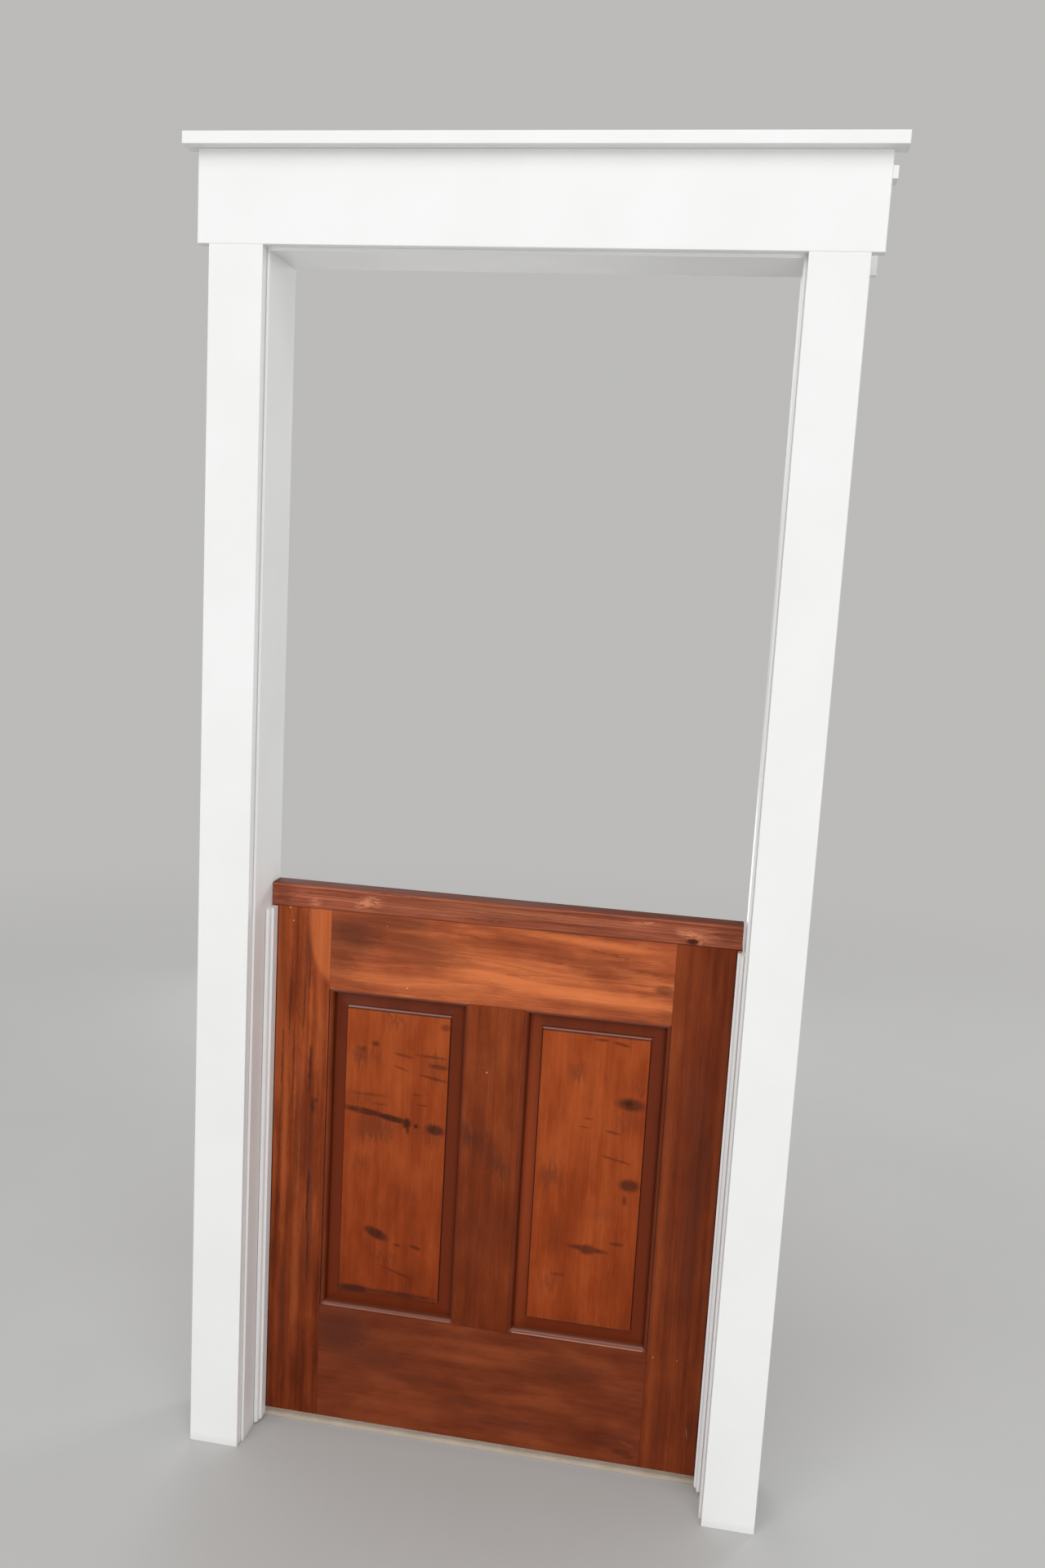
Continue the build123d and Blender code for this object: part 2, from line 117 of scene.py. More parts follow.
def scaled(tree, value, factor, start=0.0):
    """A value times a factor, counted from a start."""
    return sums(tree, "MULTIPLY_ADD", value, factor, start)


def split(tree, place):
    """The X, Y and Z of a vector."""
    return add(tree, "ShaderNodeSeparateXYZ", {0: place}).outputs


def vectors(tree, operation, *values):
    """Arithmetic on vectors."""
    node = add(tree, "ShaderNodeVectorMath", operation=operation)
    for socket, value in zip(node.inputs, values):
        feed(tree, socket, value)
    return node.outputs["Value" if operation == "LENGTH" else "Vector"]


def between(tree, value, low, high, smooth=True):
    """0 at low, 1 at high, and a soft step from one to the other. Either may be the larger."""
    kind = "SMOOTHSTEP" if smooth else "LINEAR"
    pairs = {"Value": value, "From Min": low, "From Max": high}
    return add(tree, "ShaderNodeMapRange", pairs, interpolation_type=kind).outputs[0]


def blend(tree, first, second, share):
    """Mix two colours by a share from 0 to 1."""
    pairs = {0: share, 6: first, 7: second}
    return add(tree, "ShaderNodeMix", pairs, data_type="RGBA").outputs[2]


def lay(tree, colour, tone, mask, strength=1.0):
    """Lay a tone over a colour where the mask is, as strongly as given."""
    return blend(tree, colour, tone, sums(tree, "MULTIPLY", mask, strength, clamp=True))


def noise(tree, place, scale=1.0, detail=2.0, rough=0.5):
    """Noise from 0 to 1. The scale is one number, or one for each axis."""
    if isinstance(scale, tuple):
        place, scale = vectors(tree, "MULTIPLY", place, scale), 1.0
    pairs = {"Vector": place, "Scale": scale, "Detail": detail, "Roughness": rough}
    return add(tree, "ShaderNodeTexNoise", pairs).outputs["Fac"]


print("helpers ready")

# %% [markdown]
# ## Node groups
# An effect that several finishes share is built once, as a node group with named sockets. The
# group gives out only numbers that change over the surface. The finish decides what they mean:
# colour, shine or relief. `new_group` opens such a group and hands back its two ends. A socket
# takes vectors if its first value is a vector, and single numbers otherwise. Every group is
# given the place that it works at.

# %% Group helpers
ORIGIN = (0, 0, 0)


def new_group(name, takes, *gives):
    """A group, the sockets it is given, and the sockets that it has to fill."""
    tree = bpy.data.node_groups.new(name, "ShaderNodeTree")
    for label, value in {"Place": ORIGIN, **takes}.items():
        kind = "NodeSocketVector" if isinstance(value, tuple) else "NodeSocketFloat"
        socket = tree.interface.new_socket(label, in_out="INPUT", socket_type=kind)
        socket.default_value = value
    for label in gives:
        tree.interface.new_socket(label, in_out="OUTPUT", socket_type="NodeSocketFloat")
    entry = tree.nodes.new("NodeGroupInput")
    leave = tree.nodes.new("NodeGroupOutput")
    return tree, entry.outputs, leave.inputs


def use(tree, group, inputs):
    """Place a group in a material and hand back its outputs."""
    node = tree.nodes.new("ShaderNodeGroup")
    node.node_tree = group
    for name, value in inputs.items():
        feed(tree, node.inputs[name], value)
    return node.outputs


print("node groups so far:", len(bpy.data.node_groups))

# %% [markdown]
# ## Where a point lies in its board
# Grain follows the board, not the room. In a stile it runs upwards and in a rail it runs
# sideways. So each board reads its object coordinates in its own order: across the grain,
# through the thickness, along the grain. A shift of a few metres gives each board its own piece
# of the pattern, as if it were cut from another tree. Object coordinates are used because they
# stay with the leaf when it swings.

# %% Board coordinates


def object_place(tree):
    return add(tree, "ShaderNodeTexCoord").outputs["Object"]


def board_place(tree, along, shift=0.0):
    """Coordinates of a board whose grain runs along X or along Z."""
    parts = split(tree, object_place(tree))
    order = (2, 1, 0) if along == "X" else (0, 1, 2)
    pairs = {number: parts[which] for number, which in enumerate(order)}
    place = add(tree, "ShaderNodeCombineXYZ", pairs).outputs[0]
    return vectors(tree, "ADD", place, (shift, 0.37 * shift, 1.7 * shift))


print("grain directions: X for rails, heads and caps, Z for stiles, jambs and panels")

# %% [markdown]
# ## The figure of pine
# A plain-sawn pine board shows rings of early and late wood as long bands. One-dimensional noise
# makes rings of uneven width, much more like wood than the even stripes of a wave texture.
# Before it is read, the position across the board is pushed to and fro by a slow noise, so that
# the bands wander and now and then close into loops. Three more outputs are the streaks, some
# millimetres wide, the fine fibre, and the cloudy way in which pine takes up stain. `Share` is
# their weighted sum, and each board brings its own weights.

# %% Group: pine figure


def pine_figure_group():
    takes = {
        "Rings per metre": 40.0, "Wander": 0.02, "Lift": 0.0,
        "Ring weight": 0.5, "Streak weight": 0.2, "Cloud weight": 0.3, "Fibre weight": 0.2,
    }
    tree, given, out = new_group("pine figure", takes, "Share", "Ring", "Streak", "Cloud", "Fibre")
    place = given["Place"]
    slow = noise(tree, place, (5.0, 5.0, 1.3), detail=4.0)
    push = sums(tree, "MULTIPLY", sums(tree, "SUBTRACT", slow, 0.5), given["Wander"])
    parts = split(tree, place)
    across = sums(tree, "ADD", scaled(tree, parts[1], 0.6, parts[0]), push)
    turn = sums(tree, "MULTIPLY", across, given["Rings per metre"])
    pairs = {"W": turn, "Scale": 1.0, "Detail": 4.0, "Roughness": 0.66}
    rings = add(tree, "ShaderNodeTexNoise", pairs, noise_dimensions="1D").outputs["Fac"]
    streaks = noise(tree, place, (105.0, 105.0, 4.0), detail=5.0, rough=0.62)
    cloud = noise(tree, place, (22.0, 22.0, 8.0), detail=5.0, rough=0.6)
    fibre = noise(tree, place, (560.0, 560.0, 16.0))
    share = sums(tree, "ADD", given["Lift"], 0.5)
    for name, raw, low, high in (
        ("Ring", rings, 0.28, 0.72), ("Streak", streaks, 0.33, 0.67),
        ("Cloud", cloud, 0.32, 0.68), ("Fibre", fibre, 0.3, 0.7),
    ):
        part = between(tree, raw, low, high, smooth=False)
        feed(tree, out[name], part)
        centred = sums(tree, "SUBTRACT", part, 0.5)
        share = scaled(tree, centred, given[name + " weight"], share)
    feed(tree, out["Share"], share)
    return tree


PINE_FIGURE = pine_figure_group()
print("outputs:", [s.name for s in PINE_FIGURE.interface.items_tree if s.in_out == "OUTPUT"])

# %% [markdown]
# ## A mark in the wood
# Knots, drips and rubbed spots lie where they lie, so a texture can't supply them. One group
# makes one ellipse about a centre, with an edge as soft as asked. It is turned in the plane of
# the leaf and reaches a little way through the board, so a mark on the near face stays off the
# far face. A knot or a drip is crisp and a cloud of stain is soft. Both look grown once the
# coordinates are ragged: a little in all directions for the small ones, and for the wide ones
# far along the grain but hardly across it, so that their ends run out in fingers.

# %% Group: one mark
FIRM, CRISP, SOFT = 0.12, 0.42, 0.8
MARK_DEPTH = 0.012
FINGERS = (75.0, 60.0, 9.0), (0.008, 0.0, 0.11)
GROWTH = (70.0, 70.0, 150.0), (0.014, 0.0, 0.007)


def mark_group():
    takes = {"Centre": ORIGIN, "Reach": (0.01, 0.01, 0.01), "Turn": 0.0, "Softness": 0.5}
    tree, given, out = new_group("mark in the wood", takes, "Mask")
    away = vectors(tree, "SUBTRACT", given["Place"], given["Centre"])
    pairs = {"Vector": away, "Angle": given["Turn"], "Axis": (0, 1, 0)}
    turned = add(tree, "ShaderNodeVectorRotate", pairs).outputs[0]
    far = vectors(tree, "LENGTH", vectors(tree, "DIVIDE", turned, given["Reach"]))
    outer = sums(tree, "ADD", 1.0, given["Softness"])
    inner = sums(tree, "SUBTRACT", 1.0, given["Softness"])
    feed(tree, out["Mask"], between(tree, far, outer, inner))
    return tree


MARK = mark_group()


def pushed_place(tree, scales, reaches):
    """Object coordinates that a noise pushes about, with a scale and a reach for each axis."""
    place = object_place(tree)
    stretched = vectors(tree, "MULTIPLY", place, scales)
    pairs = {"Vector": stretched, "Detail": 3.0, "Roughness": 0.6}
    wobble = add(tree, "ShaderNodeTexNoise", pairs).outputs["Color"]
    centred = vectors(tree, "SUBTRACT", wobble, (0.5, 0.5, 0.5))
    return vectors(tree, "ADD", place, vectors(tree, "MULTIPLY", centred, reaches))


def fingered_place(tree, along):
    """Pushed far along the grain, which runs along X or along Z."""
    return pushed_place(tree, *(row[::-1] if along == "X" else row for row in FINGERS))


def grown_place(tree):
    """Pushed a little, for knots and drips."""
    return pushed_place(tree, *GROWTH)


def marks_mask(tree, place, marks, face, soft):
    """All marks as one mask. A mark is x, z, half length, half height in mm, the angle by which
    it falls to the right, and its strength."""
    total = 0.0
    for x, z, long, high, fall, strength in marks:
        inputs = {
            "Place": place, "Centre": (x / 1000, face, z / 1000), "Turn": math.radians(-fall),
            "Reach": (long / 1000, MARK_DEPTH, high / 1000), "Softness": soft,
        }
        mask = scaled(tree, use(tree, MARK, inputs)["Mask"], strength)
        total = sums(tree, "MAXIMUM", total, mask)
    return total


print("mark group ready")

# %% [markdown]
# ## Where the stain gathers
# Stain and varnish run into the low places of a moulding and dry darker there. On this leaf the
# depth tells low from high: a point near the middle of the thickness lies in the bevel or in the
# moulded edge, and a point near a face does not. So the mask needs only the distance from the
# middle plane of the leaf.

# %% Group: low places
LEAF_FRONT, LEAF_BACK = (corner.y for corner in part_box("hinge_stile"))
LEAF_MIDDLE = (LEAF_FRONT + LEAF_BACK) / 2
LEAF_HALF = LEAF_MIDDLE - LEAF_FRONT
FIELD_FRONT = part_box("left_panel")[0].y
FIELD_HALF = LEAF_MIDDLE - FIELD_FRONT


def low_place_group():
    takes = {"Middle": 0.0, "High": 0.01, "Low": 0.005}
    tree, given, out = new_group("low places", takes, "Mask")
    depth = split(tree, given["Place"])[1]
    far = sums(tree, "ABSOLUTE", sums(tree, "SUBTRACT", depth, given["Middle"]))
    feed(tree, out["Mask"], between(tree, far, given["High"], given["Low"]))
    return tree


LOW_PLACES = low_place_group()
print("leaf face at", round(LEAF_FRONT, 4), "field face at", round(FIELD_FRONT, 4))

# %% [markdown]
# ## Stained pine
# The leaf was stained a red brown and varnished. Each member took the stain in its own way: the
# top rail stayed orange, the right stile went dark. So each gets its own material from one
# recipe, with three tones for its figure, its own marks, and a fade from its upper to its lower
# end. The fade is painted light that falls off towards the floor, and partly stain. Fine dark
# lines show where one member meets the next. The varnish is thin and satin on the flats. In the
# mouldings it has run together and shines, so the clear coat follows the mask of the low places
# there.

# %% Recipe: colour of stained wood
MARK_TONE = (0.04, 0.01, 0.005, 1)
SHADE_TONE = (0.085, 0.02, 0.01, 1)
JOINT_TONE = (0.02, 0.005, 0.003, 1)
NICK_TONE = (0.62, 0.4, 0.26, 1)
THIN_COAT = 0.05
# The dust lines are also painted highlights on edges that face up.
JOINT_REACH, DUST_AND_HIGHLIGHT_REACH, GLOSS_REACH = 0.0013, 0.0014, 0.0024


def tone_ramp(tree, share, tones):
    """Dark, middle and light tone of one board."""
    node = add(tree, "ShaderNodeValToRGB", {0: share})
    ramp = node.color_ramp
    ramp.elements[0].color = (*tones[0], 1)
    ramp.elements[1].color = (*tones[2], 1)
    ramp.elements.new(0.5).color = (*tones[1], 1)
    return node.outputs["Color"]


def line_group():
    takes = {"At": 0.0, "From": 0.0, "To": 1.0, "Reach": 0.001}
    tree, given, out = new_group("thin line", takes, "Mask")
    parts = split(tree, given["Place"])
    far = sums(tree, "ABSOLUTE", sums(tree, "SUBTRACT", parts[0], given["At"]))
    near = between(tree, far, given["Reach"], scaled(tree, given["Reach"], 0.4))
    above = sums(tree, "GREATER_THAN", parts[2], given["From"])
    below = sums(tree, "LESS_THAN", parts[2], given["To"])
    inside = sums(tree, "MULTIPLY", above, below)
    feed(tree, out["Mask"], sums(tree, "MULTIPLY", near, inside))
    return tree


THIN_LINE = line_group()


def line_mask(tree, lines, reach):
    """Thin lines as one mask. A line is the axis it is measured along, its place on that axis,
    its two ends on the other one, all in mm, and its strength."""
    total = 0.0
    for axis, at, low, high, strength in lines:
        inputs = {
            "Place": board_place(tree, "Z" if axis == "X" else "X"), "Reach": reach,
            "At": at / 1000, "From": low / 1000, "To": high / 1000,
        }
        mask = scaled(tree, use(tree, THIN_LINE, inputs)["Mask"], strength)
        total = sums(tree, "MAXIMUM", total, mask)
    return total


def fade_lift(tree, low, high):
    """Lift one end of a board against the other, from a height of 0 to a height of 1 metre."""
    # The upper end comes out lighter: painted light that falls off downwards, and partly stain.
    return scaled(tree, split(tree, object_place(tree))[2], high - low, low)


print("tones for marks:", MARK_TONE[:3], SHADE_TONE[:3])

# %% [markdown]
# The marks are laid over the figure in turn. The soft ones come first: stain in the low places,
# light bands, which keep some of the rings in them or they would look sprayed on, and clouds of
# stain. Then come the crisp knots, drips and streaks, and last the dust, which is also a painted
# highlight, the joints, a painted shade with some stain in the gap along the stop, and the pale
# nicks where the finish is chipped. The top of the cap is painted darker as shade.
#
# A table says for each kind of mark how its coordinates are pushed, how soft its edge is, its
# tone or the name of the board's own one, and the part of the figure that it follows, with a
# factor and a start. Only the flecks follow short coarse fibres of their own.

# %% Recipe: marks and lines
MARK_KINDS = {
    "light": ("fingered", SOFT, "light_tone", ("Ring", 0.5, 0.6)),
    "patch": ("grown", FIRM, "light_tone", ("Streak", 0.3, 0.7)),
    "shade": ("fingered", SOFT, SHADE_TONE, ("Cloud", 0.6, 0.6)),
    "flecks": ("grown", SOFT, "fleck_tone", None),
    "dark": ("grown", CRISP, MARK_TONE, ("Streak", 0.35, 0.78)),
    "streaks": ("fingered", CRISP, MARK_TONE, ("Streak", 0.35, 0.78)),
}
FLECK_STRETCH = (420.0, 420.0, 110.0)
# How deep the painted shade on the cap's top reaches.
SHADED_TOP_EDGE = 0.001


def low_mask(tree, high, low, strength):
    """The low places of the leaf, as strongly as given."""
    pairs = {"Place": object_place(tree), "Middle": LEAF_MIDDLE, "High": high, "Low": low}
    return scaled(tree, use(tree, LOW_PLACES, pairs)["Mask"], strength)


def thinning(tree, along, figure, follow):
    """How strongly a mark shows from place to place."""
    if follow:
        part, factor, start = follow
        return scaled(tree, figure[part], factor, start)
    fibres = noise(tree, board_place(tree, along, 3.0), FLECK_STRETCH, detail=3.0)
    return between(tree, fibres, 0.32, 0.66)


def lay_marks(tree, along, colour, figure, look):
    """Stain in the low places, and then each kind of mark in its turn."""
    if "low" in look:
        uneven = scaled(tree, figure["Share"], 0.5, 0.75)
        colour = lay(tree, colour, look["low_tone"], low_mask(tree, *look["low"]), uneven)
    places = {"fingered": fingered_place(tree, along), "grown": grown_place(tree)}
    face = look.get("face", LEAF_FRONT)
    for kind, (push, soft, tone, follow) in MARK_KINDS.items():
        if kind in look:
            mask = marks_mask(tree, places[push], look[kind], face, soft)
            share = thinning(tree, along, figure, follow)
            colour = lay(tree, colour, look.get(tone, tone), mask, share)
    return colour


def lay_lines(tree, colour, look):
    """Dust and painted highlight, joints, painted shade at the stop and on the cap top, nicks."""
    place = object_place(tree)
    # Pale dust lines, which are partly a painted highlight on edges that face up.
    if "dust" in look:
        mask = line_mask(tree, look["dust"], DUST_AND_HIGHLIGHT_REACH)
        colour = lay(tree, colour, look["dust_and_highlight_tone"], mask)
    if "joints" in look:
        colour = lay(tree, colour, JOINT_TONE, line_mask(tree, look["joints"], JOINT_REACH))
    # Painted shade with some stain in the gap between the leaf and the stop, on its near face.
    if "gap_shade_and_stain" in look:
        near = sums(tree, "LESS_THAN", split(tree, place)[1], LEAF_MIDDLE)
        colour = lay(tree, colour, JOINT_TONE, line_mask(tree, look["gap_shade_and_stain"], JOINT_REACH), near)
    # Painted shade: the top face of the cap is painted darker.
    if "shaded_top" in look:
        wear_and_shade = between(tree, split(tree, place)[2], look["shaded_top"] - SHADED_TOP_EDGE, look["shaded_top"])
        colour = lay(tree, colour, SHADE_TONE, wear_and_shade, 0.8)
    if "nicks" in look:
        face = look.get("face", LEAF_FRONT)
        colour = lay(tree, colour, NICK_TONE, marks_mask(tree, place, look["nicks"], face, CRISP))
    return colour


print("kinds of mark:", ", ".join(MARK_KINDS))

# %% [markdown]
# The recipe puts it all on one shader. The clear coat has its own weight and roughness, and the
# fibres and streaks give the bump, which is less than a tenth of a millimetre deep.

# %% Recipe: stained board
GRAIN_DEPTH = 0.00006


def principled(name, **inputs):
    """A material with one Principled BSDF. Its constant values are set on the shader itself."""
    material = bpy.data.materials.new(name)
    material.use_nodes = True
    tree = material.node_tree
    shader = tree.nodes["Principled BSDF"]
    for label, value in inputs.items():
        shader.inputs[label.replace("_", " ")].default_value = value
    return material, tree, shader


def surface(tree, shader, colour, height, depth, shine=None):
    """Feed a shader with colour, with bump by a height from 0 to 1 over a depth in metres, and
    with a roughness that changes from place to place."""
    bump = add(tree, "ShaderNodeBump", {"Height": height, "Distance": depth, "Strength": 1.0})
    feed(tree, shader.inputs["Base Color"], colour)
    feed(tree, shader.inputs["Normal"], bump.outputs["Normal"])
    if shine is not None:
        feed(tree, shader.inputs["Roughness"], shine)


def varnish(tree, look):
    """Weight of the clear coat: thin on the flats, thick in the glossy low places and lines."""
    gloss = low_mask(tree, *look["gloss"]) if "gloss" in look else 0.0
    if "gloss_lines" in look:
        gloss = sums(tree, "MAXIMUM", gloss, line_mask(tree, look["gloss_lines"], GLOSS_REACH))
    return sums(tree, "ADD", gloss, THIN_COAT)


def stained_board(name, along, look):
    """Material for one member of the leaf, from a table of its looks."""
    material, tree, shader = principled(
        name, Specular_IOR_Level=look.get("specular", 0.1), Coat_Roughness=0.16,
        Coat_Weight=look.get("coat", THIN_COAT),
    )
    inputs = {
        "Place": board_place(tree, along, look["shift"]),
        "Rings per metre": look["rings"],
        "Wander": look["wander"],
    }
    for label, weight in zip(("Ring", "Streak", "Cloud", "Fibre"), look["mix"]):
        inputs[label + " weight"] = weight
    if "fade" in look:
        inputs["Lift"] = fade_lift(tree, *look["fade"])
    figure = use(tree, PINE_FIGURE, inputs)
    colour = tone_ramp(tree, figure["Share"], look["tones"])
    colour = lay_lines(tree, lay_marks(tree, along, colour, figure, look), look)
    grain = scaled(tree, figure["Fibre"], 0.5, figure["Streak"])
    surface(tree, shader, colour, grain, GRAIN_DEPTH, scaled(tree, figure["Cloud"], 0.14, 0.4))
    if "gloss" in look or "gloss_lines" in look:
        feed(tree, shader.inputs["Coat Weight"], varnish(tree, look))
    return material


def finish_nodes(material, *names):
    """Give a finish to CAD nodes by way of their material slots."""
    for name in names:
        for slot in nodes[name].material_slots:
            slot.material = material
    print(f"{material.name}: {', '.join(names)}")


def finish_board(name, along, look, wood="pine"):
    """Give one member of the leaf its own stained wood."""
    finish_nodes(stained_board(f"{name}_{wood}", along, look), name)


print("thin coat:", THIN_COAT, "grain depth:", GRAIN_DEPTH)

# %% [markdown]
# ## The two stiles
# The hinge stile is streaky, with a pale tongue of sapwood near its top and long dark streaks
# below. The lock stile is even and dark, a little paler along both its edges. A dark line marks
# where each rail butts against a stile. Another dark line along the stop is painted shade in the
# gap there, with some stain in it. Marks and lines are given in millimetres.

# %% Stiles
ARRIS_LEFT, ARRIS_RIGHT = -300.0, 299.0
PANEL_LOW, PANEL_HIGH = 237.0, 838.0
LEAF_LOW, LEAF_HIGH = 17.0, 981.0
STOP_GAP = 397.6
STAIN_DEPTHS = (LEAF_HALF - 0.0004, LEAF_HALF - 0.002)
GLOSS_DEPTHS = (LEAF_HALF - 0.0002, LEAF_HALF - 0.0014)
MOULDED_EDGE = {
    "low": (*STAIN_DEPTHS, 0.5), "low_tone": (0.105, 0.016, 0.004, 1),
    "gloss": (*GLOSS_DEPTHS, 0.12),
}
TOP_GAP = ("Z", LEAF_HIGH - 0.6, -408, 407, 0.4)
TOP_JOINTS = [("X", x, PANEL_HIGH, LEAF_HIGH, 0.2) for x in (ARRIS_LEFT, ARRIS_RIGHT)]
LOW_JOINTS = [("X", x, LEAF_LOW, PANEL_LOW, 0.3) for x in (ARRIS_LEFT, ARRIS_RIGHT)]

HINGE_LOOK = {
    "tones": ((0.098, 0.014, 0.0015), (0.2, 0.0335, 0.0065), (0.4, 0.083, 0.019)),
    "shift": 3.1, "rings": 44, "wander": 0.03, "fade": (-0.24, 0.26),
    "mix": (0.42, 0.36, 0.5, 0.13),
    "shade": [(-340, 905, 7, 60, 0, 0.5), (-352, 560, 5, 120, 1, 0.55), (-328, 560, 8, 70, 1, 0.5),
              (-326, 420, 7, 90, 1, 0.5), (-388, 880, 5, 90, 0, 0.35), (-372, 240, 8, 90, 0, 0.35)],
    "streaks": [(-331, 690, 2.6, 48, 1, 0.75), (-329, 450, 2.6, 60, 1, 0.7),
                (-371, 800, 2.2, 70, 1, 0.6), (-326, 335, 2.2, 50, 1, 0.55),
                (-345, 800, 1.8, 54, 1, 0.65), (-337, 845, 1.6, 30, 0, 0.5),
                (-383, 700, 1.8, 60, 0, 0.45), (-362, 690, 2.0, 70, 0, 0.5)],
    "dark": [(-325, 618, 4, 14, 0, 0.7), (-320, 629, 6, 4, 0, 0.5)],
    "light": [(-392, 780, 10, 170, 0, 0.5), (-376, 560, 6, 140, 0, 0.5),
              (-348, 300, 7, 130, 0, 0.3), (-312, 760, 5, 90, 0, 0.3),
              (-396, 500, 5, 120, 0, 0.35)],
    "patch": [(-303, 944, 37, 92, -5, 0.9)],
    "light_tone": (0.55, 0.133, 0.037, 1),
    "nicks": [(-376, 978, 1.4, 1.2, 0, 1), (-369, 955, 1.0, 1.6, 0, 0.8)],
    "joints": [TOP_JOINTS[0], LOW_JOINTS[0], TOP_GAP,
               ("X", ARRIS_LEFT + 0.5, PANEL_LOW, PANEL_HIGH, 0.7)],
    # Painted shade with some stain in the gap along the stop.
    "gap_shade_and_stain": [("X", -STOP_GAP, LEAF_LOW, LEAF_HIGH, 0.85)],
    **MOULDED_EDGE,
}
LOCK_LOOK = {
    "tones": ((0.085, 0.0145, 0.003), (0.162, 0.0275, 0.006), (0.245, 0.047, 0.011)),
    "shift": 7.7, "rings": 50, "wander": 0.018, "fade": (-0.02, 0.06),
    "mix": (0.35, 0.35, 0.45, 0.2),
    "shade": [(349, 700, 16, 70, 0, 0.45), (360, 560, 16, 160, 1, 0.5), (357, 400, 12, 80, 0, 0.4)],
    "light": [(330, 945, 12, 50, 0, 0.3), (310, 520, 7, 240, 0, 0.35), (392, 600, 5, 300, 0, 0.4),
              (312, 130, 8, 110, 0, 0.35)],
    "light_tone": (0.29, 0.06, 0.016, 1),
    "nicks": [(310, 232, 1.0, 0.9, 0, 0.7), (352, 232, 0.8, 1.0, 0, 0.6),
              (379, 96, 0.45, 10, -6, 0.35)],
    "joints": [TOP_JOINTS[1], LOW_JOINTS[1], TOP_GAP,
               ("X", ARRIS_RIGHT - 0.5, PANEL_LOW, PANEL_HIGH, 0.7)],
    # Painted shade with some stain in the gap along the stop.
    "gap_shade_and_stain": [("X", STOP_GAP, LEAF_LOW, LEAF_HIGH, 0.85)],
    **MOULDED_EDGE,
}
finish_board("hinge_stile", "Z", HINGE_LOOK)
finish_board("lock_stile", "Z", LOCK_LOOK)

# %% [markdown]
# ## The rails and the muntin
# The top rail is the palest board. Its grain lies flat and wanders, with a smoky patch at the
# upper left, light bands below and at the right, and a lens-shaped knot near the right stile.
# The bottom rail is dark red. The muntin, the upright between the panels, is a middle brown with
# one smudge across it. The moulded edge of the bottom rail is a ledge with dust on it, and its
# paler tone and pale lines are also a painted highlight.

# %% Rails and muntin
TOP_LOOK = {
    "tones": ((0.18, 0.036, 0.013), (0.36, 0.08, 0.026), (0.62, 0.168, 0.056)),
    "shift": 12.4, "rings": 52, "wander": 0.13, "mix": (0.44, 0.2, 0.5, 0.2),
    "shade": [(-262, 942, 62, 36, 0, 0.85), (-205, 968, 90, 13, 0, 0.7),
              (-285, 905, 34, 44, 0, 0.55), (-150, 930, 80, 28, 8, 0.5),
              (190, 925, 60, 14, 6, 0.35), (150, 935, 110, 7, 6, 0.35),
              (20, 948, 90, 7, 0, 0.3), (292, 853, 12, 12, 0, 0.3)],
    "streaks": [(205, 948, 60, 1.1, 8, 0.4), (120, 925, 70, 1.1, 7, 0.35),
                (60, 900, 50, 1.0, -4, 0.3), (250, 925, 40, 1.1, 10, 0.35),
                (-60, 958, 60, 1.0, 4, 0.3), (10, 868, 60, 0.9, 3, 0.25)],
    "dark": [(284, 898, 17, 8, 4, 0.5), (292, 899, 10, 3.6, 2, 0.35)],
    "light": [(30, 888, 120, 12, 6, 0.75), (150, 875, 140, 13, 3, 0.85),
              (-150, 862, 150, 12, 2, 0.5), (150, 968, 110, 7, 4, 0.6),
              (245, 915, 60, 8, 12, 0.55), (-20, 920, 120, 10, 4, 0.4)],
    "light_tone": (0.76, 0.215, 0.068, 1),
    "nicks": [(-160, 854, 1.3, 1.1, 0, 1), (-200, 961, 1.0, 0.8, 0, 0.6)],
    "joints": [*TOP_JOINTS, TOP_GAP],
    **MOULDED_EDGE, "low": (*STAIN_DEPTHS, 0.8), "gloss": (*GLOSS_DEPTHS, 0.85),
}
BOTTOM_LOOK = {
    "tones": ((0.09, 0.015, 0.004), (0.165, 0.0315, 0.009), (0.25, 0.054, 0.016)),
    "shift": 16.9, "rings": 30, "wander": 0.12, "mix": (0.2, 0.15, 0.6, 0.12),
    "shade": [(-262, 190, 50, 40, 0, 0.9), (-200, 150, 60, 26, 0, 0.5), (60, 60, 70, 12, 0, 0.4),
              (-120, 120, 60, 10, 0, 0.4), (150, 180, 60, 18, 0, 0.35), (262, 60, 36, 16, 0, 0.4),
              (-20, 90, 40, 8, 0, 0.4)],
    "dark": [(268, 40, 16, 6, 4, 0.45), (280, 33, 12, 4, -8, 0.4), (30, 72, 10, 4, 20, 0.2)],
    "light": [(-30, 175, 110, 9, 0, 0.5), (-120, 60, 90, 14, 0, 0.35), (90, 110, 90, 10, 0, 0.3),
              (30, 195, 60, 16, 10, 0.4)],
    "patch": [(276, 57, 14, 3, 20, 0.45)],
    "light_tone": (0.32, 0.072, 0.022, 1),
    "joints": LOW_JOINTS,
    # The ledge gets a paler, pinker tone and pale lines: dust, and a painted highlight.
    "low": (*STAIN_DEPTHS, 0.7), "low_tone": (0.14, 0.04, 0.022, 1),
    "gloss": (*GLOSS_DEPTHS, 0.4),
    "dust": [("Z", PANEL_LOW + 2.4, -292, -57, 0.4), ("Z", PANEL_LOW + 2.2, 57, 291, 0.85),
             ("Z", PANEL_LOW + 6.4, 57, 291, 0.25)],
    "dust_and_highlight_tone": (0.44, 0.21, 0.15, 1),
}
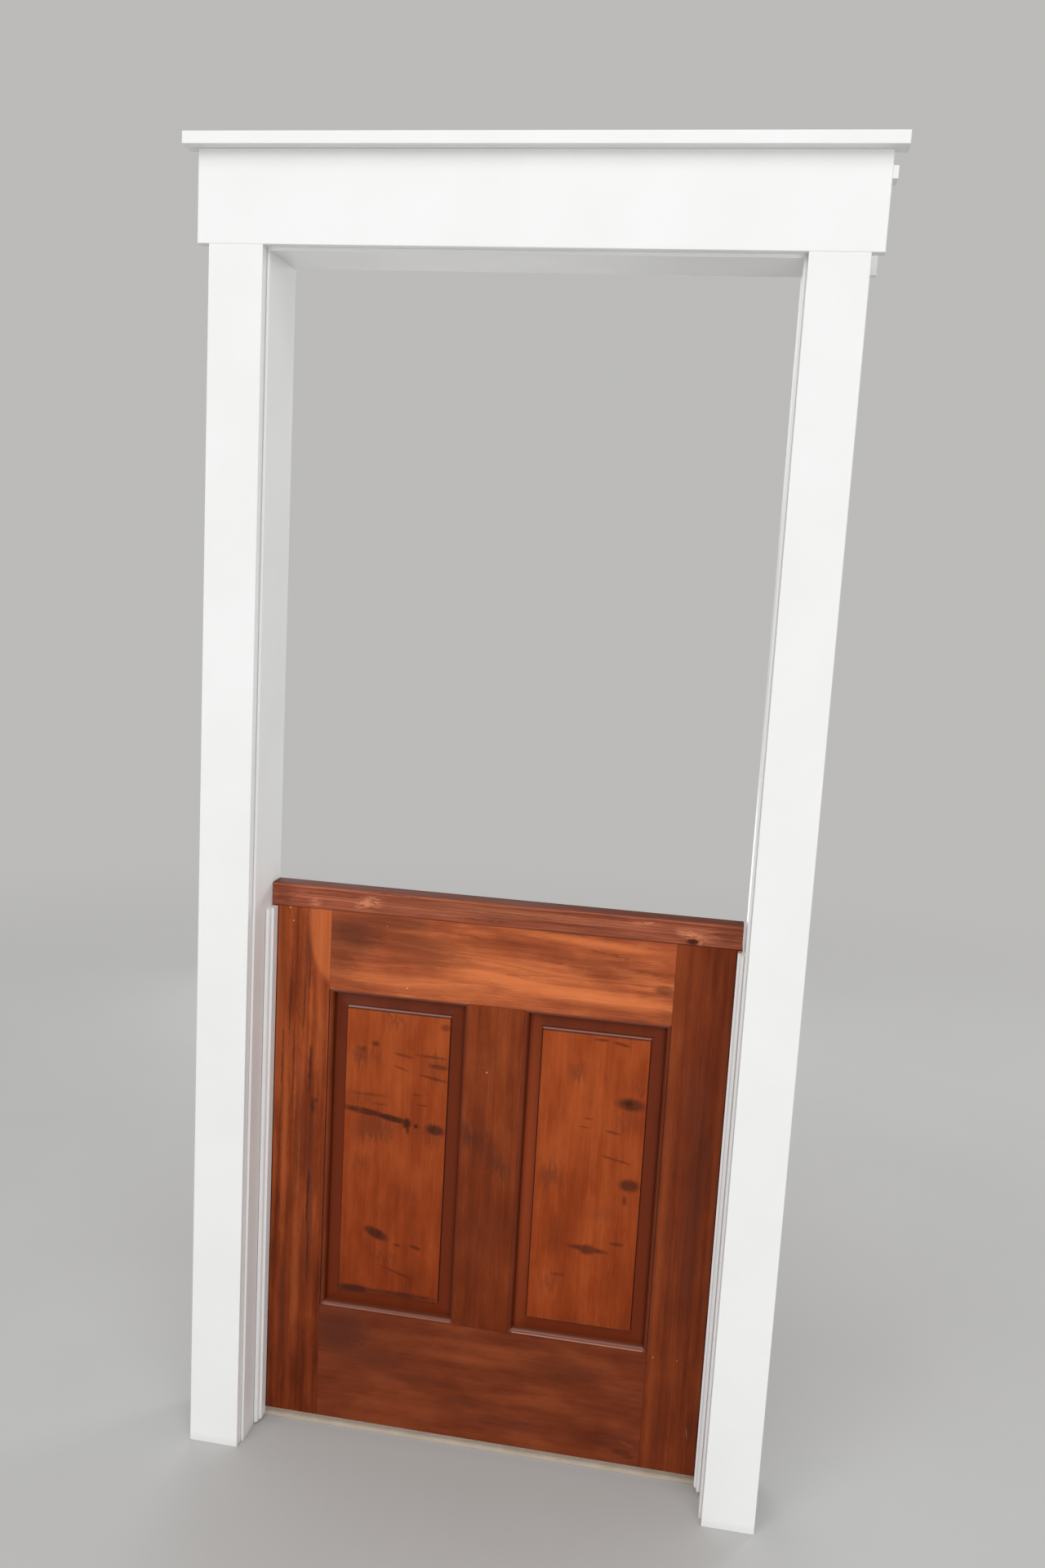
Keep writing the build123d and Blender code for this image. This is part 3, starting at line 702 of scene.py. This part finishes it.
MUNTIN_LOOK = {
    "tones": ((0.09, 0.0135, 0.002), (0.168, 0.0275, 0.005), (0.275, 0.054, 0.012)),
    "shift": 21.3, "rings": 40, "wander": 0.02, "fade": (-0.28, 0.36), "mix": (0.3, 0.2, 0.5, 0.16),
    "shade": [(-26, 592, 30, 15, 25, 0.8), (12, 552, 26, 15, 40, 0.7), (-10, 420, 28, 60, 0, 0.25)],
    "nicks": [(-12, 718, 1.2, 1.2, 0, 0.9)],
    "joints": [("Z", PANEL_HIGH, -50, 49, 0.6), ("Z", PANEL_LOW, -50, 49, 0.4)],
    **MOULDED_EDGE,
}
finish_board("top_rail", "X", TOP_LOOK)
finish_board("bottom_rail", "X", BOTTOM_LOOK)
finish_board("muntin", "Z", MUNTIN_LOOK)

# %% [markdown]
# ## The two panels
# Each panel is one wide board with knots, drips and rubbed spots in it, and a bevel where the
# stain lies thick. The marks were read from the picture one by one: long thin ones that slope
# down to the right, and a few round knots.

# %% Panels
FIELD_TONES = ((0.14, 0.019, 0.0025), (0.255, 0.0395, 0.006), (0.385, 0.075, 0.0155))
LEFT_MARKS = [
    (-215, 744, 7, 5, 0, 0.6), (-238, 732, 8, 5, 0, 0.45), (-163, 728, 17, 2.6, 9, 0.5),
    (-112, 731, 28, 2.4, 2, 0.5), (-99, 714, 17, 4, 5, 0.6), (-167, 704, 14, 1.8, 17, 0.5),
    (-108, 692, 25, 2.8, 9, 0.55), (-225, 649, 35, 2.6, 0, 0.35), (-203, 633, 13, 2.6, 0, 0.35),
    (-137, 658, 8, 2, 0, 0.4), (-127, 640, 10, 2, 0, 0.4), (-232, 617, 36, 6, 6, 0.8),
    (-180, 609, 32, 5.6, 9, 0.9), (-153, 603, 7, 10, 0, 0.9), (-151, 592, 3, 8, 0, 0.75),
    (-136, 600, 4, 4, 0, 0.9), (-101, 597, 16, 9, 8, 0.85), (-200, 387, 22, 9, 22, 0.85),
    (-215, 394, 9, 6, 0, 0.6), (-162, 370, 7, 3, 0, 0.6), (-128, 370, 11, 3.6, 12, 0.7),
    (-160, 317, 32, 2.2, 16, 0.5), (-238, 275, 32, 7, 0, 0.9), (-160, 275, 70, 5, 0, 0.7),
    (-90, 787, 9, 6, 0, 0.5),
]
LEFT_SHADES = [
    (-240, 716, 13, 12, 0, 0.65), (-216, 721, 11, 8, 0, 0.5), (-212, 588, 34, 24, 0, 0.6),
    (-235, 520, 22, 14, 0, 0.3), (-105, 712, 22, 16, 0, 0.35), (-110, 590, 26, 16, 0, 0.4),
    (-240, 640, 26, 10, 0, 0.35), (-192, 345, 30, 6, 20, 0.4), (-180, 790, 26, 9, 0, 0.4),
    (-150, 470, 26, 12, 0, 0.25), (-200, 430, 20, 10, 0, 0.2),
]
RIGHT_MARKS = [
    (240, 687, 24, 11, 2, 0.7), (236, 689, 13, 6, 0, 0.85), (184, 797, 13, 2.4, 0, 0.55),
    (217, 793, 15, 2.6, 10, 0.6), (169, 653, 8, 1.8, 0, 0.45), (163, 637, 9, 1.8, 0, 0.45),
    (213, 633, 13, 2.2, 8, 0.55), (221, 584, 26, 2, 11, 0.55), (247, 540, 18, 11, 0, 0.7),
    (250, 541, 11, 6, 0, 0.75), (241, 511, 4, 8, 0, 0.5), (182, 413, 34, 5, 4, 0.7),
    (182, 412, 14, 9, 0, 0.75), (232, 429, 12, 3.4, 0, 0.6), (132, 358, 12, 3.4, 0, 0.4),
]
RIGHT_SHADES = [
    (254, 717, 12, 7, 0, 0.55), (144, 735, 13, 12, 0, 0.5), (240, 660, 24, 14, 0, 0.35),
    (226, 362, 14, 6, 0, 0.4), (111, 536, 20, 16, 0, 0.5), (121, 425, 14, 34, 0, 0.3),
    (190, 273, 80, 6, 0, 0.35), (120, 340, 18, 14, 0, 0.3), (200, 480, 26, 12, 0, 0.2),
]
BEVEL = (FIELD_HALF - 0.0006, FIELD_HALF - 0.0026, 0.78)
FIELD_LOW, FIELD_HIGH = 269.5, 805.5
BEVEL_WIDTH = 24.2


def panel_look(shift, left, right, fade, marks, shades, edge):
    """The looks that both panels share, with the edge lines of a field from left to right."""
    top_line = ("Z", FIELD_HIGH + 1.7, left, right, 0.75)
    upright = [
        (left - 1.0, FIELD_LOW, FIELD_HIGH, edge), (right + 1.0, FIELD_LOW, FIELD_HIGH, 0.8),
        (left - BEVEL_WIDTH, PANEL_LOW, PANEL_HIGH, 0.6),
        (right + BEVEL_WIDTH, PANEL_LOW, PANEL_HIGH, 0.6),
    ]
    level = [
        (FIELD_HIGH - 0.9, left, right, 0.7), (FIELD_HIGH + 4.6, left - 4, right + 4, 0.6),
        (FIELD_LOW - 1.0, left, right, 0.4),
    ]
    return {
        "tones": FIELD_TONES, "shift": shift, "rings": 26, "wander": 0.03, "fade": fade,
        "mix": (0.25, 0.17, 0.46, 0.13), "face": FIELD_FRONT, "dark": marks, "shade": shades,
        "joints": [("X", *line) for line in upright] + [("Z", *line) for line in level],
        "low": BEVEL, "low_tone": (0.112, 0.0165, 0.004, 1), "gloss_lines": [top_line],
        # The pale line along the top of the field is a painted highlight, with some dust.
        "dust": [top_line], "dust_and_highlight_tone": (0.25, 0.15, 0.135, 1),
    }


LEFT_LOOK = panel_look(26.2, -267.5, -82.0, (-0.4, 0.5), LEFT_MARKS, LEFT_SHADES, 0.2)
RIGHT_LOOK = panel_look(31.8, 81.0, 266.5, (-0.12, 0.42), RIGHT_MARKS, RIGHT_SHADES, 0.8)
RIGHT_LOOK["light"] = [(66, 540, 12, 290, 0, 0.9)]
RIGHT_LOOK["light_tone"] = (0.29, 0.05, 0.012, 1)
finish_board("left_panel", "Z", LEFT_LOOK)
finish_board("right_panel", "Z", RIGHT_LOOK)

# %% [markdown]
# ## The cap rail
# The cap is a softer, coarser wood than the leaf below it. Its grain is easy to see, the stain is
# browner, and it has a large knot with a dark heart near the right end and two pale flecked ones
# at the left.

# %% Cap rail
CAP_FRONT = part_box("cap_rail")[0].y
CAP_LOOK = {
    "tones": ((0.14, 0.033, 0.016), (0.285, 0.077, 0.041), (0.46, 0.142, 0.074)),
    "shift": 36.5, "rings": 210, "wander": 0.045, "mix": (0.7, 0.35, 0.3, 0.25), "face": CAP_FRONT,
    "specular": 0.03, "coat": 0.0,
    "shade": [(326, 986, 22, 8, 25, 0.4), (-150, 1008, 110, 4, 0, 0.35), (60, 996, 140, 3, 1, 0.3),
              (200, 985, 90, 4, 2, 0.35), (-388, 1000, 14, 18, 0, 0.35),
              (380, 1003, 22, 14, 0, 0.3)],
    "streaks": [(-187, 1018, 40, 1.0, 0, 0.5), (40, 1003, 90, 0.8, 1, 0.4),
                (180, 1012, 70, 0.8, 0, 0.4), (-300, 1008, 50, 0.8, 0, 0.4),
                (-60, 989, 90, 0.8, 0, 0.4)],
    "dark": [(324, 987, 10, 5, 0, 0.85), (-230, 990, 13, 1.6, 0, 0.5)],
    "light": [(10, 1006, 170, 7, 1, 0.4), (-120, 995, 120, 4, 0, 0.3), (322, 999, 26, 8, 12, 0.5),
              (345, 1001, 12, 8, 0, 0.45)],
    "flecks": [(-234, 999, 20, 10, -15, 0.9), (-330, 991, 9, 7, 0, 0.75),
               (320, 998, 20, 6, 12, 0.8), (337, 989, 8, 6, -30, 0.7),
               (247, 1011, 20, 2.4, -3, 0.8)],
    "fleck_tone": (0.68, 0.26, 0.135, 1),
    "light_tone": (0.54, 0.19, 0.095, 1),
    # The top face is painted darker as shade, from this height up.
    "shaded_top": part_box("cap_rail")[1].z,
}
finish_board("cap_rail", "X", CAP_LOOK, wood="wood")

# %% [markdown]
# ## White paint
# The trim is brushed with a semi-gloss white. The bristles leave long shallow furrows that run
# with the board, and the roller texture of the film shows between them. Paint on a doorway is
# never quite clean near the floor: brooms and shoes scuff it. Dirt also settles as hairlines
# where the stops and the casings meet the jambs. These effects are groups, since every painted
# board uses them.

# %% Groups: brush marks, scuffs and seams
STOP_LOW, STOP_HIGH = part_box("right_stop")
CASING_LOW, CASING_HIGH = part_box("front_right_casing")
SEAMS = [
    (STOP_HIGH.x, STOP_LOW.y, STOP_HIGH.z, 0.75),
    (CASING_LOW.x, CASING_HIGH.y, CASING_HIGH.z, 0.5),
]
SEAM_REACH, SEAM_CORE = 0.0016, 0.0006
SCUFF_STRETCH = (110.0, 110.0, 170.0)
DUST_TOP = 0.02


def brush_group():
    takes = {"Furrows per metre": 260.0}
    tree, given, out = new_group("brush marks", takes, "Height", "Tone")
    along = vectors(tree, "MULTIPLY", given["Place"], (1.0, 1.0, 0.02))
    furrows = noise(tree, along, given["Furrows per metre"])
    film = noise(tree, given["Place"], 420.0, detail=1.0)
    feed(tree, out["Height"], scaled(tree, film, 0.35, furrows))
    feed(tree, out["Tone"], noise(tree, given["Place"], 7.0, detail=3.0))
    return tree


def scuff_group():
    takes = {"Top": 0.3}
    tree, given, out = new_group("scuffs near the floor", takes, "Mask")
    height = split(tree, given["Place"])[2]
    fade = between(tree, height, given["Top"], 0.0)
    smears = noise(tree, given["Place"], SCUFF_STRETCH, detail=4.0, rough=0.62)
    specks = sums(tree, "MULTIPLY", between(tree, smears, 0.66, 0.8), fade)
    dust = scaled(tree, between(tree, height, DUST_TOP, 0.0), 0.5)
    feed(tree, out["Mask"], sums(tree, "ADD", specks, dust, clamp=True))
    return tree


def seam_group():
    """Dirty hairlines along upright edges, alike left and right, each up to its own height."""
    tree, given, out = new_group("dirty seams", {}, "Mask")
    parts = split(tree, given["Place"])
    side = sums(tree, "ABSOLUTE", parts[0])
    total = 0.0
    for x, y, top, strength in SEAMS:
        pairs = {0: sums(tree, "SUBTRACT", side, x), 1: sums(tree, "SUBTRACT", parts[1], y)}
        offset = add(tree, "ShaderNodeCombineXYZ", pairs).outputs[0]
        near = between(tree, vectors(tree, "LENGTH", offset), SEAM_REACH, SEAM_CORE)
        below = scaled(tree, sums(tree, "LESS_THAN", parts[2], top), strength)
        total = sums(tree, "MAXIMUM", total, sums(tree, "MULTIPLY", near, below))
    feed(tree, out["Mask"], total)
    return tree


BRUSH = brush_group()
SCUFF = scuff_group()
DIRTY_SEAMS = seam_group()
print("seams at x, y:", [(round(seam[0], 4), round(seam[1], 4)) for seam in SEAMS])

# %% [markdown]
# The paint's colour drifts by a percent or two from place to place, which is enough to keep a
# large white board from looking like plastic. Bare pine shows at the upper end of the right
# stop: it was cut in place, and the brush reached only the near half of the cut.

# %% Recipe: painted board
PAINT_WHITE = (0.87, 0.87, 0.862, 1)
PAINT_DIM = (0.8, 0.8, 0.785, 1)
SCUFF_GREY = (0.42, 0.4, 0.37, 1)
RAW_PINE = (0.56, 0.4, 0.235, 1)
SEAM_DIRT = (0.3, 0.26, 0.22, 1)
FURROWS, SCUFF_TOP, BRUSH_DEPTH = 260.0, 0.28, 0.00005
BARE_DEPTH, BARE_SIDE, BARE_TOP = 0.016, 0.004, 0.0006


def torn_end_mask(tree):
    """The part of the right stop's upper end that the brush never reached."""
    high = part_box("right_stop")[1]
    place = object_place(tree)
    parts = split(tree, place)
    edge = scaled(tree, noise(tree, place, 400.0), 0.006, high.y - BARE_DEPTH)
    above = sums(tree, "GREATER_THAN", parts[2], high.z - BARE_TOP)
    behind = sums(tree, "GREATER_THAN", parts[1], edge)
    beside = sums(tree, "LESS_THAN", parts[0], high.x - BARE_SIDE)
    return sums(tree, "MULTIPLY", above, sums(tree, "MULTIPLY", behind, beside))


def painted_board(name, along, shift, torn=False):
    material, tree, shader = principled(name, Specular_IOR_Level=0.3)
    here = object_place(tree)
    inputs = {"Place": board_place(tree, along, shift), "Furrows per metre": FURROWS}
    brush = use(tree, BRUSH, inputs)
    scuffs = use(tree, SCUFF, {"Place": here, "Top": SCUFF_TOP})["Mask"]
    colour = lay(tree, PAINT_WHITE, PAINT_DIM, between(tree, brush["Tone"], 0.3, 0.75), 0.35)
    colour = lay(tree, colour, SCUFF_GREY, scuffs, 0.35)
    colour = lay(tree, colour, SEAM_DIRT, use(tree, DIRTY_SEAMS, {"Place": here})["Mask"])
    if torn:
        colour = lay(tree, colour, RAW_PINE, torn_end_mask(tree))
    shine = scaled(tree, scuffs, 0.2, scaled(tree, brush["Tone"], 0.12, 0.38))
    surface(tree, shader, colour, brush["Height"], BRUSH_DEPTH, shine)
    return material


UPRIGHT_PAINT = painted_board("upright_paint", "Z", 2.3)
LEVEL_PAINT = painted_board("level_paint", "X", 5.9)
RIGHT_STOP_PAINT = painted_board("right_stop_paint", "Z", 8.8, torn=True)
finish_nodes(
    UPRIGHT_PAINT, "left_jamb", "right_jamb", "front_left_casing", "front_right_casing",
    "rear_left_casing", "rear_right_casing", "left_stop",
)
finish_nodes(
    LEVEL_PAINT, "head_jamb", "front_head_casing", "front_head_cap", "rear_head_casing",
    "rear_head_cap",
)
finish_nodes(RIGHT_STOP_PAINT, "right_stop")

# %% [markdown]
# ## The floor strip and the dowels
# The strip under the leaf is a pale grey-cream moulding, a little gritty, with its front edge
# painted darker as shade. The dowels are hidden in their holes, but a model that is taken apart
# shows them, so they get bare beech with its short dark flecks.

# %% Strip and beech
STRIP_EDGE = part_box("threshold_strip")[0].y
STRIP_DARK, STRIP_LIGHT = (0.64, 0.53, 0.4, 1), (0.86, 0.75, 0.61, 1)
# The strip's front edge is painted darker as shade.
STRIP_EDGE_SHADE = (0.36, 0.3, 0.24, 1)
EDGE_SHADE_WIDTH = 0.0022
BEECH_TONES = ((0.5, 0.32, 0.17), (0.6, 0.41, 0.24), (0.7, 0.5, 0.32))
BEECH_FLECK = (0.33, 0.19, 0.09, 1)


def gritty_strip():
    material, tree, shader = principled("pale_strip_grit", Roughness=0.55)
    place = object_place(tree)
    grit = noise(tree, place, 900.0)
    wear_and_shade = between(tree, noise(tree, place, 24.0, detail=3.0), 0.35, 0.7)
    share = scaled(tree, grit, 0.4, scaled(tree, wear_and_shade, 0.5))
    # Painted shade along the front edge.
    edge = between(tree, split(tree, place)[1], STRIP_EDGE + EDGE_SHADE_WIDTH, STRIP_EDGE)
    colour = lay(tree, blend(tree, STRIP_DARK, STRIP_LIGHT, share), STRIP_EDGE_SHADE, edge, 0.75)
    surface(tree, shader, colour, grit, GRAIN_DEPTH)
    return material


def beech():
    material, tree, shader = principled("beech_dowel", Roughness=0.62)
    inputs = {"Place": board_place(tree, "X", 40.0), "Rings per metre": 240.0, "Wander": 0.004}
    figure = use(tree, PINE_FIGURE, inputs)
    flecks = between(tree, figure["Fibre"], 0.62, 0.72)
    colour = lay(tree, tone_ramp(tree, figure["Ring"], BEECH_TONES), BEECH_FLECK, flecks, 0.6)
    surface(tree, shader, colour, figure["Fibre"], depth=0.00008)
    return material


finish_nodes(gritty_strip(), "threshold_strip")
finish_nodes(beech(), "rail_dowels", "cap_dowels")

# %% [markdown]
# ## Steel
# The hinges are satin nickel and the bolt is bright zinc. Both are rolled sheet and drawn rod,
# whose fine scratches all run one way. The group makes that scratch pattern and a cloudy
# tarnish. Metal has no colour of its own but that of its reflection, so the tint goes into Base
# Color with Metallic at one.

# %% Plated steel


def drawn_metal_group():
    takes = {"Stretch": (2600.0, 2600.0, 60.0)}
    tree, given, out = new_group("drawn metal", takes, "Scratches", "Tarnish")
    fine = vectors(tree, "MULTIPLY", given["Place"], given["Stretch"])
    feed(tree, out["Scratches"], noise(tree, fine))
    cloud = noise(tree, given["Place"], 120.0, detail=3.0)
    feed(tree, out["Tarnish"], between(tree, cloud, 0.45, 0.75))
    return tree


DRAWN_METAL = drawn_metal_group()


def plated_steel(name, tint, dull, stretch):
    material, tree, shader = principled(name, Metallic=1.0)
    metal = use(tree, DRAWN_METAL, {"Place": object_place(tree), "Stretch": stretch})
    colour = lay(tree, tint, dull, metal["Tarnish"], 0.6)
    shine = scaled(tree, metal["Tarnish"], 0.14, scaled(tree, metal["Scratches"], 0.16, 0.2))
    surface(tree, shader, colour, metal["Scratches"], depth=0.00002, shine=shine)
    return material


NICKEL = plated_steel(
    "satin_nickel", (0.62, 0.58, 0.51, 1), (0.36, 0.32, 0.27, 1), (2600.0, 2600.0, 60.0)
)
ZINC = plated_steel(
    "bright_zinc", (0.66, 0.67, 0.68, 1), (0.42, 0.42, 0.41, 1), (60.0, 2600.0, 2600.0)
)
finish_nodes(NICKEL, "hinge_frame_screws", "hinge_leaf_screws")
for hinge in ("lower_hinge", "upper_hinge"):
    finish_nodes(NICKEL, f"{hinge}_frame_plate", f"{hinge}_leaf_plate", f"{hinge}_pin")
finish_nodes(
    ZINC, "bolt_plate", "bolt_plate_screws", "bolt_bar", "bolt_knob", "bolt_keeper",
    "keeper_screws",
)

# %% [markdown]
# ## Torn fibres at the foot of a stop
# The right stop was torn off short of the floor, and splinters of pine still hang from its foot.
# The two thick ones are in the CAD. The thin ones are added here, each a bent strip that narrows
# to a point. A splinter starts inside the stop, so nothing floats: the stop is narrow at its
# nose and wide behind, so the inset depends on how far in the splinter lies. The mesh is built
# point by point, since a splinter has no regular shape.

# %% Torn fibres
ROOT_HEIGHT = 0.0115
NOSE_DEPTH, NOSE_INSET, SIDE_INSET = 0.013, 0.006, 0.002
SPLINTER_TURNS, SPLINTER_SIDES = 5, 3
RAW_TONES = ((0.52, 0.46, 0.38), (0.68, 0.64, 0.57), (0.82, 0.8, 0.76))


def splinter(start, drift, length, width):
    """Rings of three points round a bent line that tapers to its tip."""
    rings = []
    for step in range(SPLINTER_TURNS + 1):
        part = step / SPLINTER_TURNS
        centre = start + Vector((drift.x * part * part, drift.y * part, -length * part))
        half = width * (1 - 0.92 * part) / 2
        ring = [(half, 0), (-half * 0.6, half * 0.8), (-half * 0.5, -half * 0.7)]
        rings.append([centre + Vector((x, y, 0)) for x, y in ring])
    return rings


def torn_fibres(seed, count):
    """All splinters of one foot as one mesh."""
    chance = random.Random(seed)
    low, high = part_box("right_stop")
    points, faces = [], []
    for _ in range(count):
        inward = chance.uniform(low.y + 0.004, low.y + 0.02)
        inset = NOSE_INSET if inward < low.y + NOSE_DEPTH else SIDE_INSET
        across = chance.uniform(low.x + inset, high.x - 0.003)
        start = Vector((across, inward, low.z + ROOT_HEIGHT))
        drift = Vector((chance.uniform(-0.0012, 0.0012), chance.uniform(-0.0025, 0.0025), 0))
        length = chance.uniform(0.006, 0.0115)
        rings = splinter(start, drift, length, chance.uniform(0.001, 0.0021))
        first = len(points)
        points += [point for ring in rings for point in ring]
        for row in range(SPLINTER_TURNS):
            for side in range(SPLINTER_SIDES):
                a = first + SPLINTER_SIDES * row + side
                b = first + SPLINTER_SIDES * row + (side + 1) % SPLINTER_SIDES
                faces.append((a, b, b + SPLINTER_SIDES, a + SPLINTER_SIDES))
        last = len(points) - SPLINTER_SIDES
        faces += [(first + 2, first + 1, first), (last, last + 1, last + 2)]
    mesh = bpy.data.meshes.new("torn_fibres")
    mesh.from_pydata(points, [], faces)
    mesh.update()
    return mesh


def raw_pine():
    material, tree, shader = principled("raw_pine", Roughness=0.7)
    inputs = {"Place": board_place(tree, "Z", 44.0), "Rings per metre": 300.0, "Wander": 0.004}
    figure = use(tree, PINE_FIGURE, inputs)
    colour = tone_ramp(tree, figure["Ring"], RAW_TONES)
    surface(tree, shader, colour, figure["Fibre"], depth=0.0001)
    return material


fibres = bpy.data.objects.new("torn_fibres", torn_fibres(5, 16))
scene.collection.objects.link(fibres)
fibres.data.materials.append(raw_pine())
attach(fibres, "frame")
print("splinters:", len(fibres.data.vertices) // (SPLINTER_SIDES * (SPLINTER_TURNS + 1)))

# %% [markdown]
# ## The floor and the backdrop
# The part is white, so a white room would swallow it. A pale warm grey is light enough to feel
# like a studio and dark enough to show the trim. The floor is a wide disc. Close to the door it
# is an ordinary matt surface that takes the shadow. Further out it turns into the colour of the
# backdrop, so that no horizon line crosses the doorway. The backdrop is seen only by camera,
# glossy and transmitted rays. The light on the part is set apart from it.

# %% Stage
BACKDROP = (0.5, 0.495, 0.485, 1)
FILL = (0.97, 0.98, 1.0, 1)
FILL_STRENGTH = 0.55
FLOOR_RADIUS, FLOOR_BELOW = 40.0, 0.0005
FLOOR_NEAR, FLOOR_FAR = 1.6, 5.0
FLOOR_TINTS = (0.53, 0.525, 0.51, 1), (0.5, 0.495, 0.48, 1)


def seen_directly(tree):
    """1 for camera, glossy and transmission rays."""
    path = add(tree, "ShaderNodeLightPath").outputs
    seen = sums(tree, "MAXIMUM", path["Is Camera Ray"], path["Is Glossy Ray"])
    return sums(tree, "MAXIMUM", seen, path["Is Transmission Ray"])


def make_world():
    world = bpy.data.worlds.new("studio")
    world.use_nodes = True
    tree = world.node_tree
    tree.nodes.clear()
    fill = add(tree, "ShaderNodeBackground", {"Color": FILL, "Strength": FILL_STRENGTH})
    shown = add(tree, "ShaderNodeBackground", {"Color": BACKDROP, "Strength": 1.0})
    pairs = {0: seen_directly(tree), 1: fill.outputs[0], 2: shown.outputs[0]}
    both = add(tree, "ShaderNodeMixShader", pairs)
    add(tree, "ShaderNodeOutputWorld", {0: both.outputs[0]})
    return world


def make_floor():
    bpy.ops.mesh.primitive_circle_add(vertices=96, radius=FLOOR_RADIUS, fill_type="NGON")
    floor = bpy.context.object
    floor.name = "studio_floor"
    floor.location.z = -FLOOR_BELOW
    material, tree, shader = principled("studio_floor", Roughness=0.9, Specular_IOR_Level=0.1)
    flat = vectors(tree, "MULTIPLY", object_place(tree), (1.0, 1.0, 0.0))
    far = between(tree, vectors(tree, "LENGTH", flat), FLOOR_NEAR, FLOOR_FAR)
    feed(tree, shader.inputs["Base Color"], blend(tree, *FLOOR_TINTS, noise(tree, flat, 3.0)))
    glow = add(tree, "ShaderNodeEmission", {"Color": BACKDROP, "Strength": seen_directly(tree)})
    both = add(tree, "ShaderNodeMixShader", {0: far, 1: shader.outputs[0], 2: glow.outputs[0]})
    feed(tree, tree.nodes["Material Output"].inputs["Surface"], both.outputs[0])
    floor.data.materials.append(material)
    return floor


scene.world = make_world()
make_floor()
print("backdrop tone:", BACKDROP[:3])

# %% [markdown]
# ## The lamps
# The picture was lit from where it was taken: there are no shadows under the head, the thin
# front edges of the jambs are bright, and the faces that look sideways are grey. Light thrown
# back by a ceiling does that. So one very large soft lamp hangs high in front. The varnished
# mouldings mirror it as lines of light. Two weaker lamps stand left and right of the camera and
# reach the lower half. The three behind the doorway light its far side, the left jamb and the
# underside of the head. They stand where the semi-gloss paint doesn't mirror them.

# %% Lamps


def soft_lamp(name, place, aim, width, height, power):
    data = bpy.data.lights.new(name, "AREA")
    data.shape = "RECTANGLE"
    data.size = width
    data.size_y = height
    data.energy = power
    lamp = bpy.data.objects.new(name, data)
    lamp.location = place
    lamp.rotation_euler = (Vector(aim) - Vector(place)).to_track_quat("-Z", "Y").to_euler()
    scene.collection.objects.link(lamp)
    return lamp


lamps = [
    soft_lamp("ceiling_bounce", (-0.2, -2.6, 3.9), (0, 0, 0.9), 3.4, 2.6, 64),
    soft_lamp("left_front", (-1.9, -3.4, 1.2), (0, 0, 0.8), 1.6, 1.8, 26),
    soft_lamp("right_front", (2.3, -3.2, 1.1), (0, 0, 0.8), 1.6, 1.8, 36),
    soft_lamp("far_high", (-1.5, 3.6, 2.8), (0, 0, 1.1), 2.4, 1.8, 30),
    soft_lamp("far_right", (3.0, 3.4, 2.3), (-0.4, 0, 1.5), 1.2, 1.2, 44),
    soft_lamp("far_low", (-0.75, 3.0, 0.45), (0, 0, 2.05), 1.2, 0.6, 13),
]
print("lamps:", [(lamp.name, lamp.data.energy) for lamp in lamps])

# %% [markdown]
# ## Update the scene
# The view layer is brought up to date.

# %% Update the view layer
bpy.context.view_layer.update()
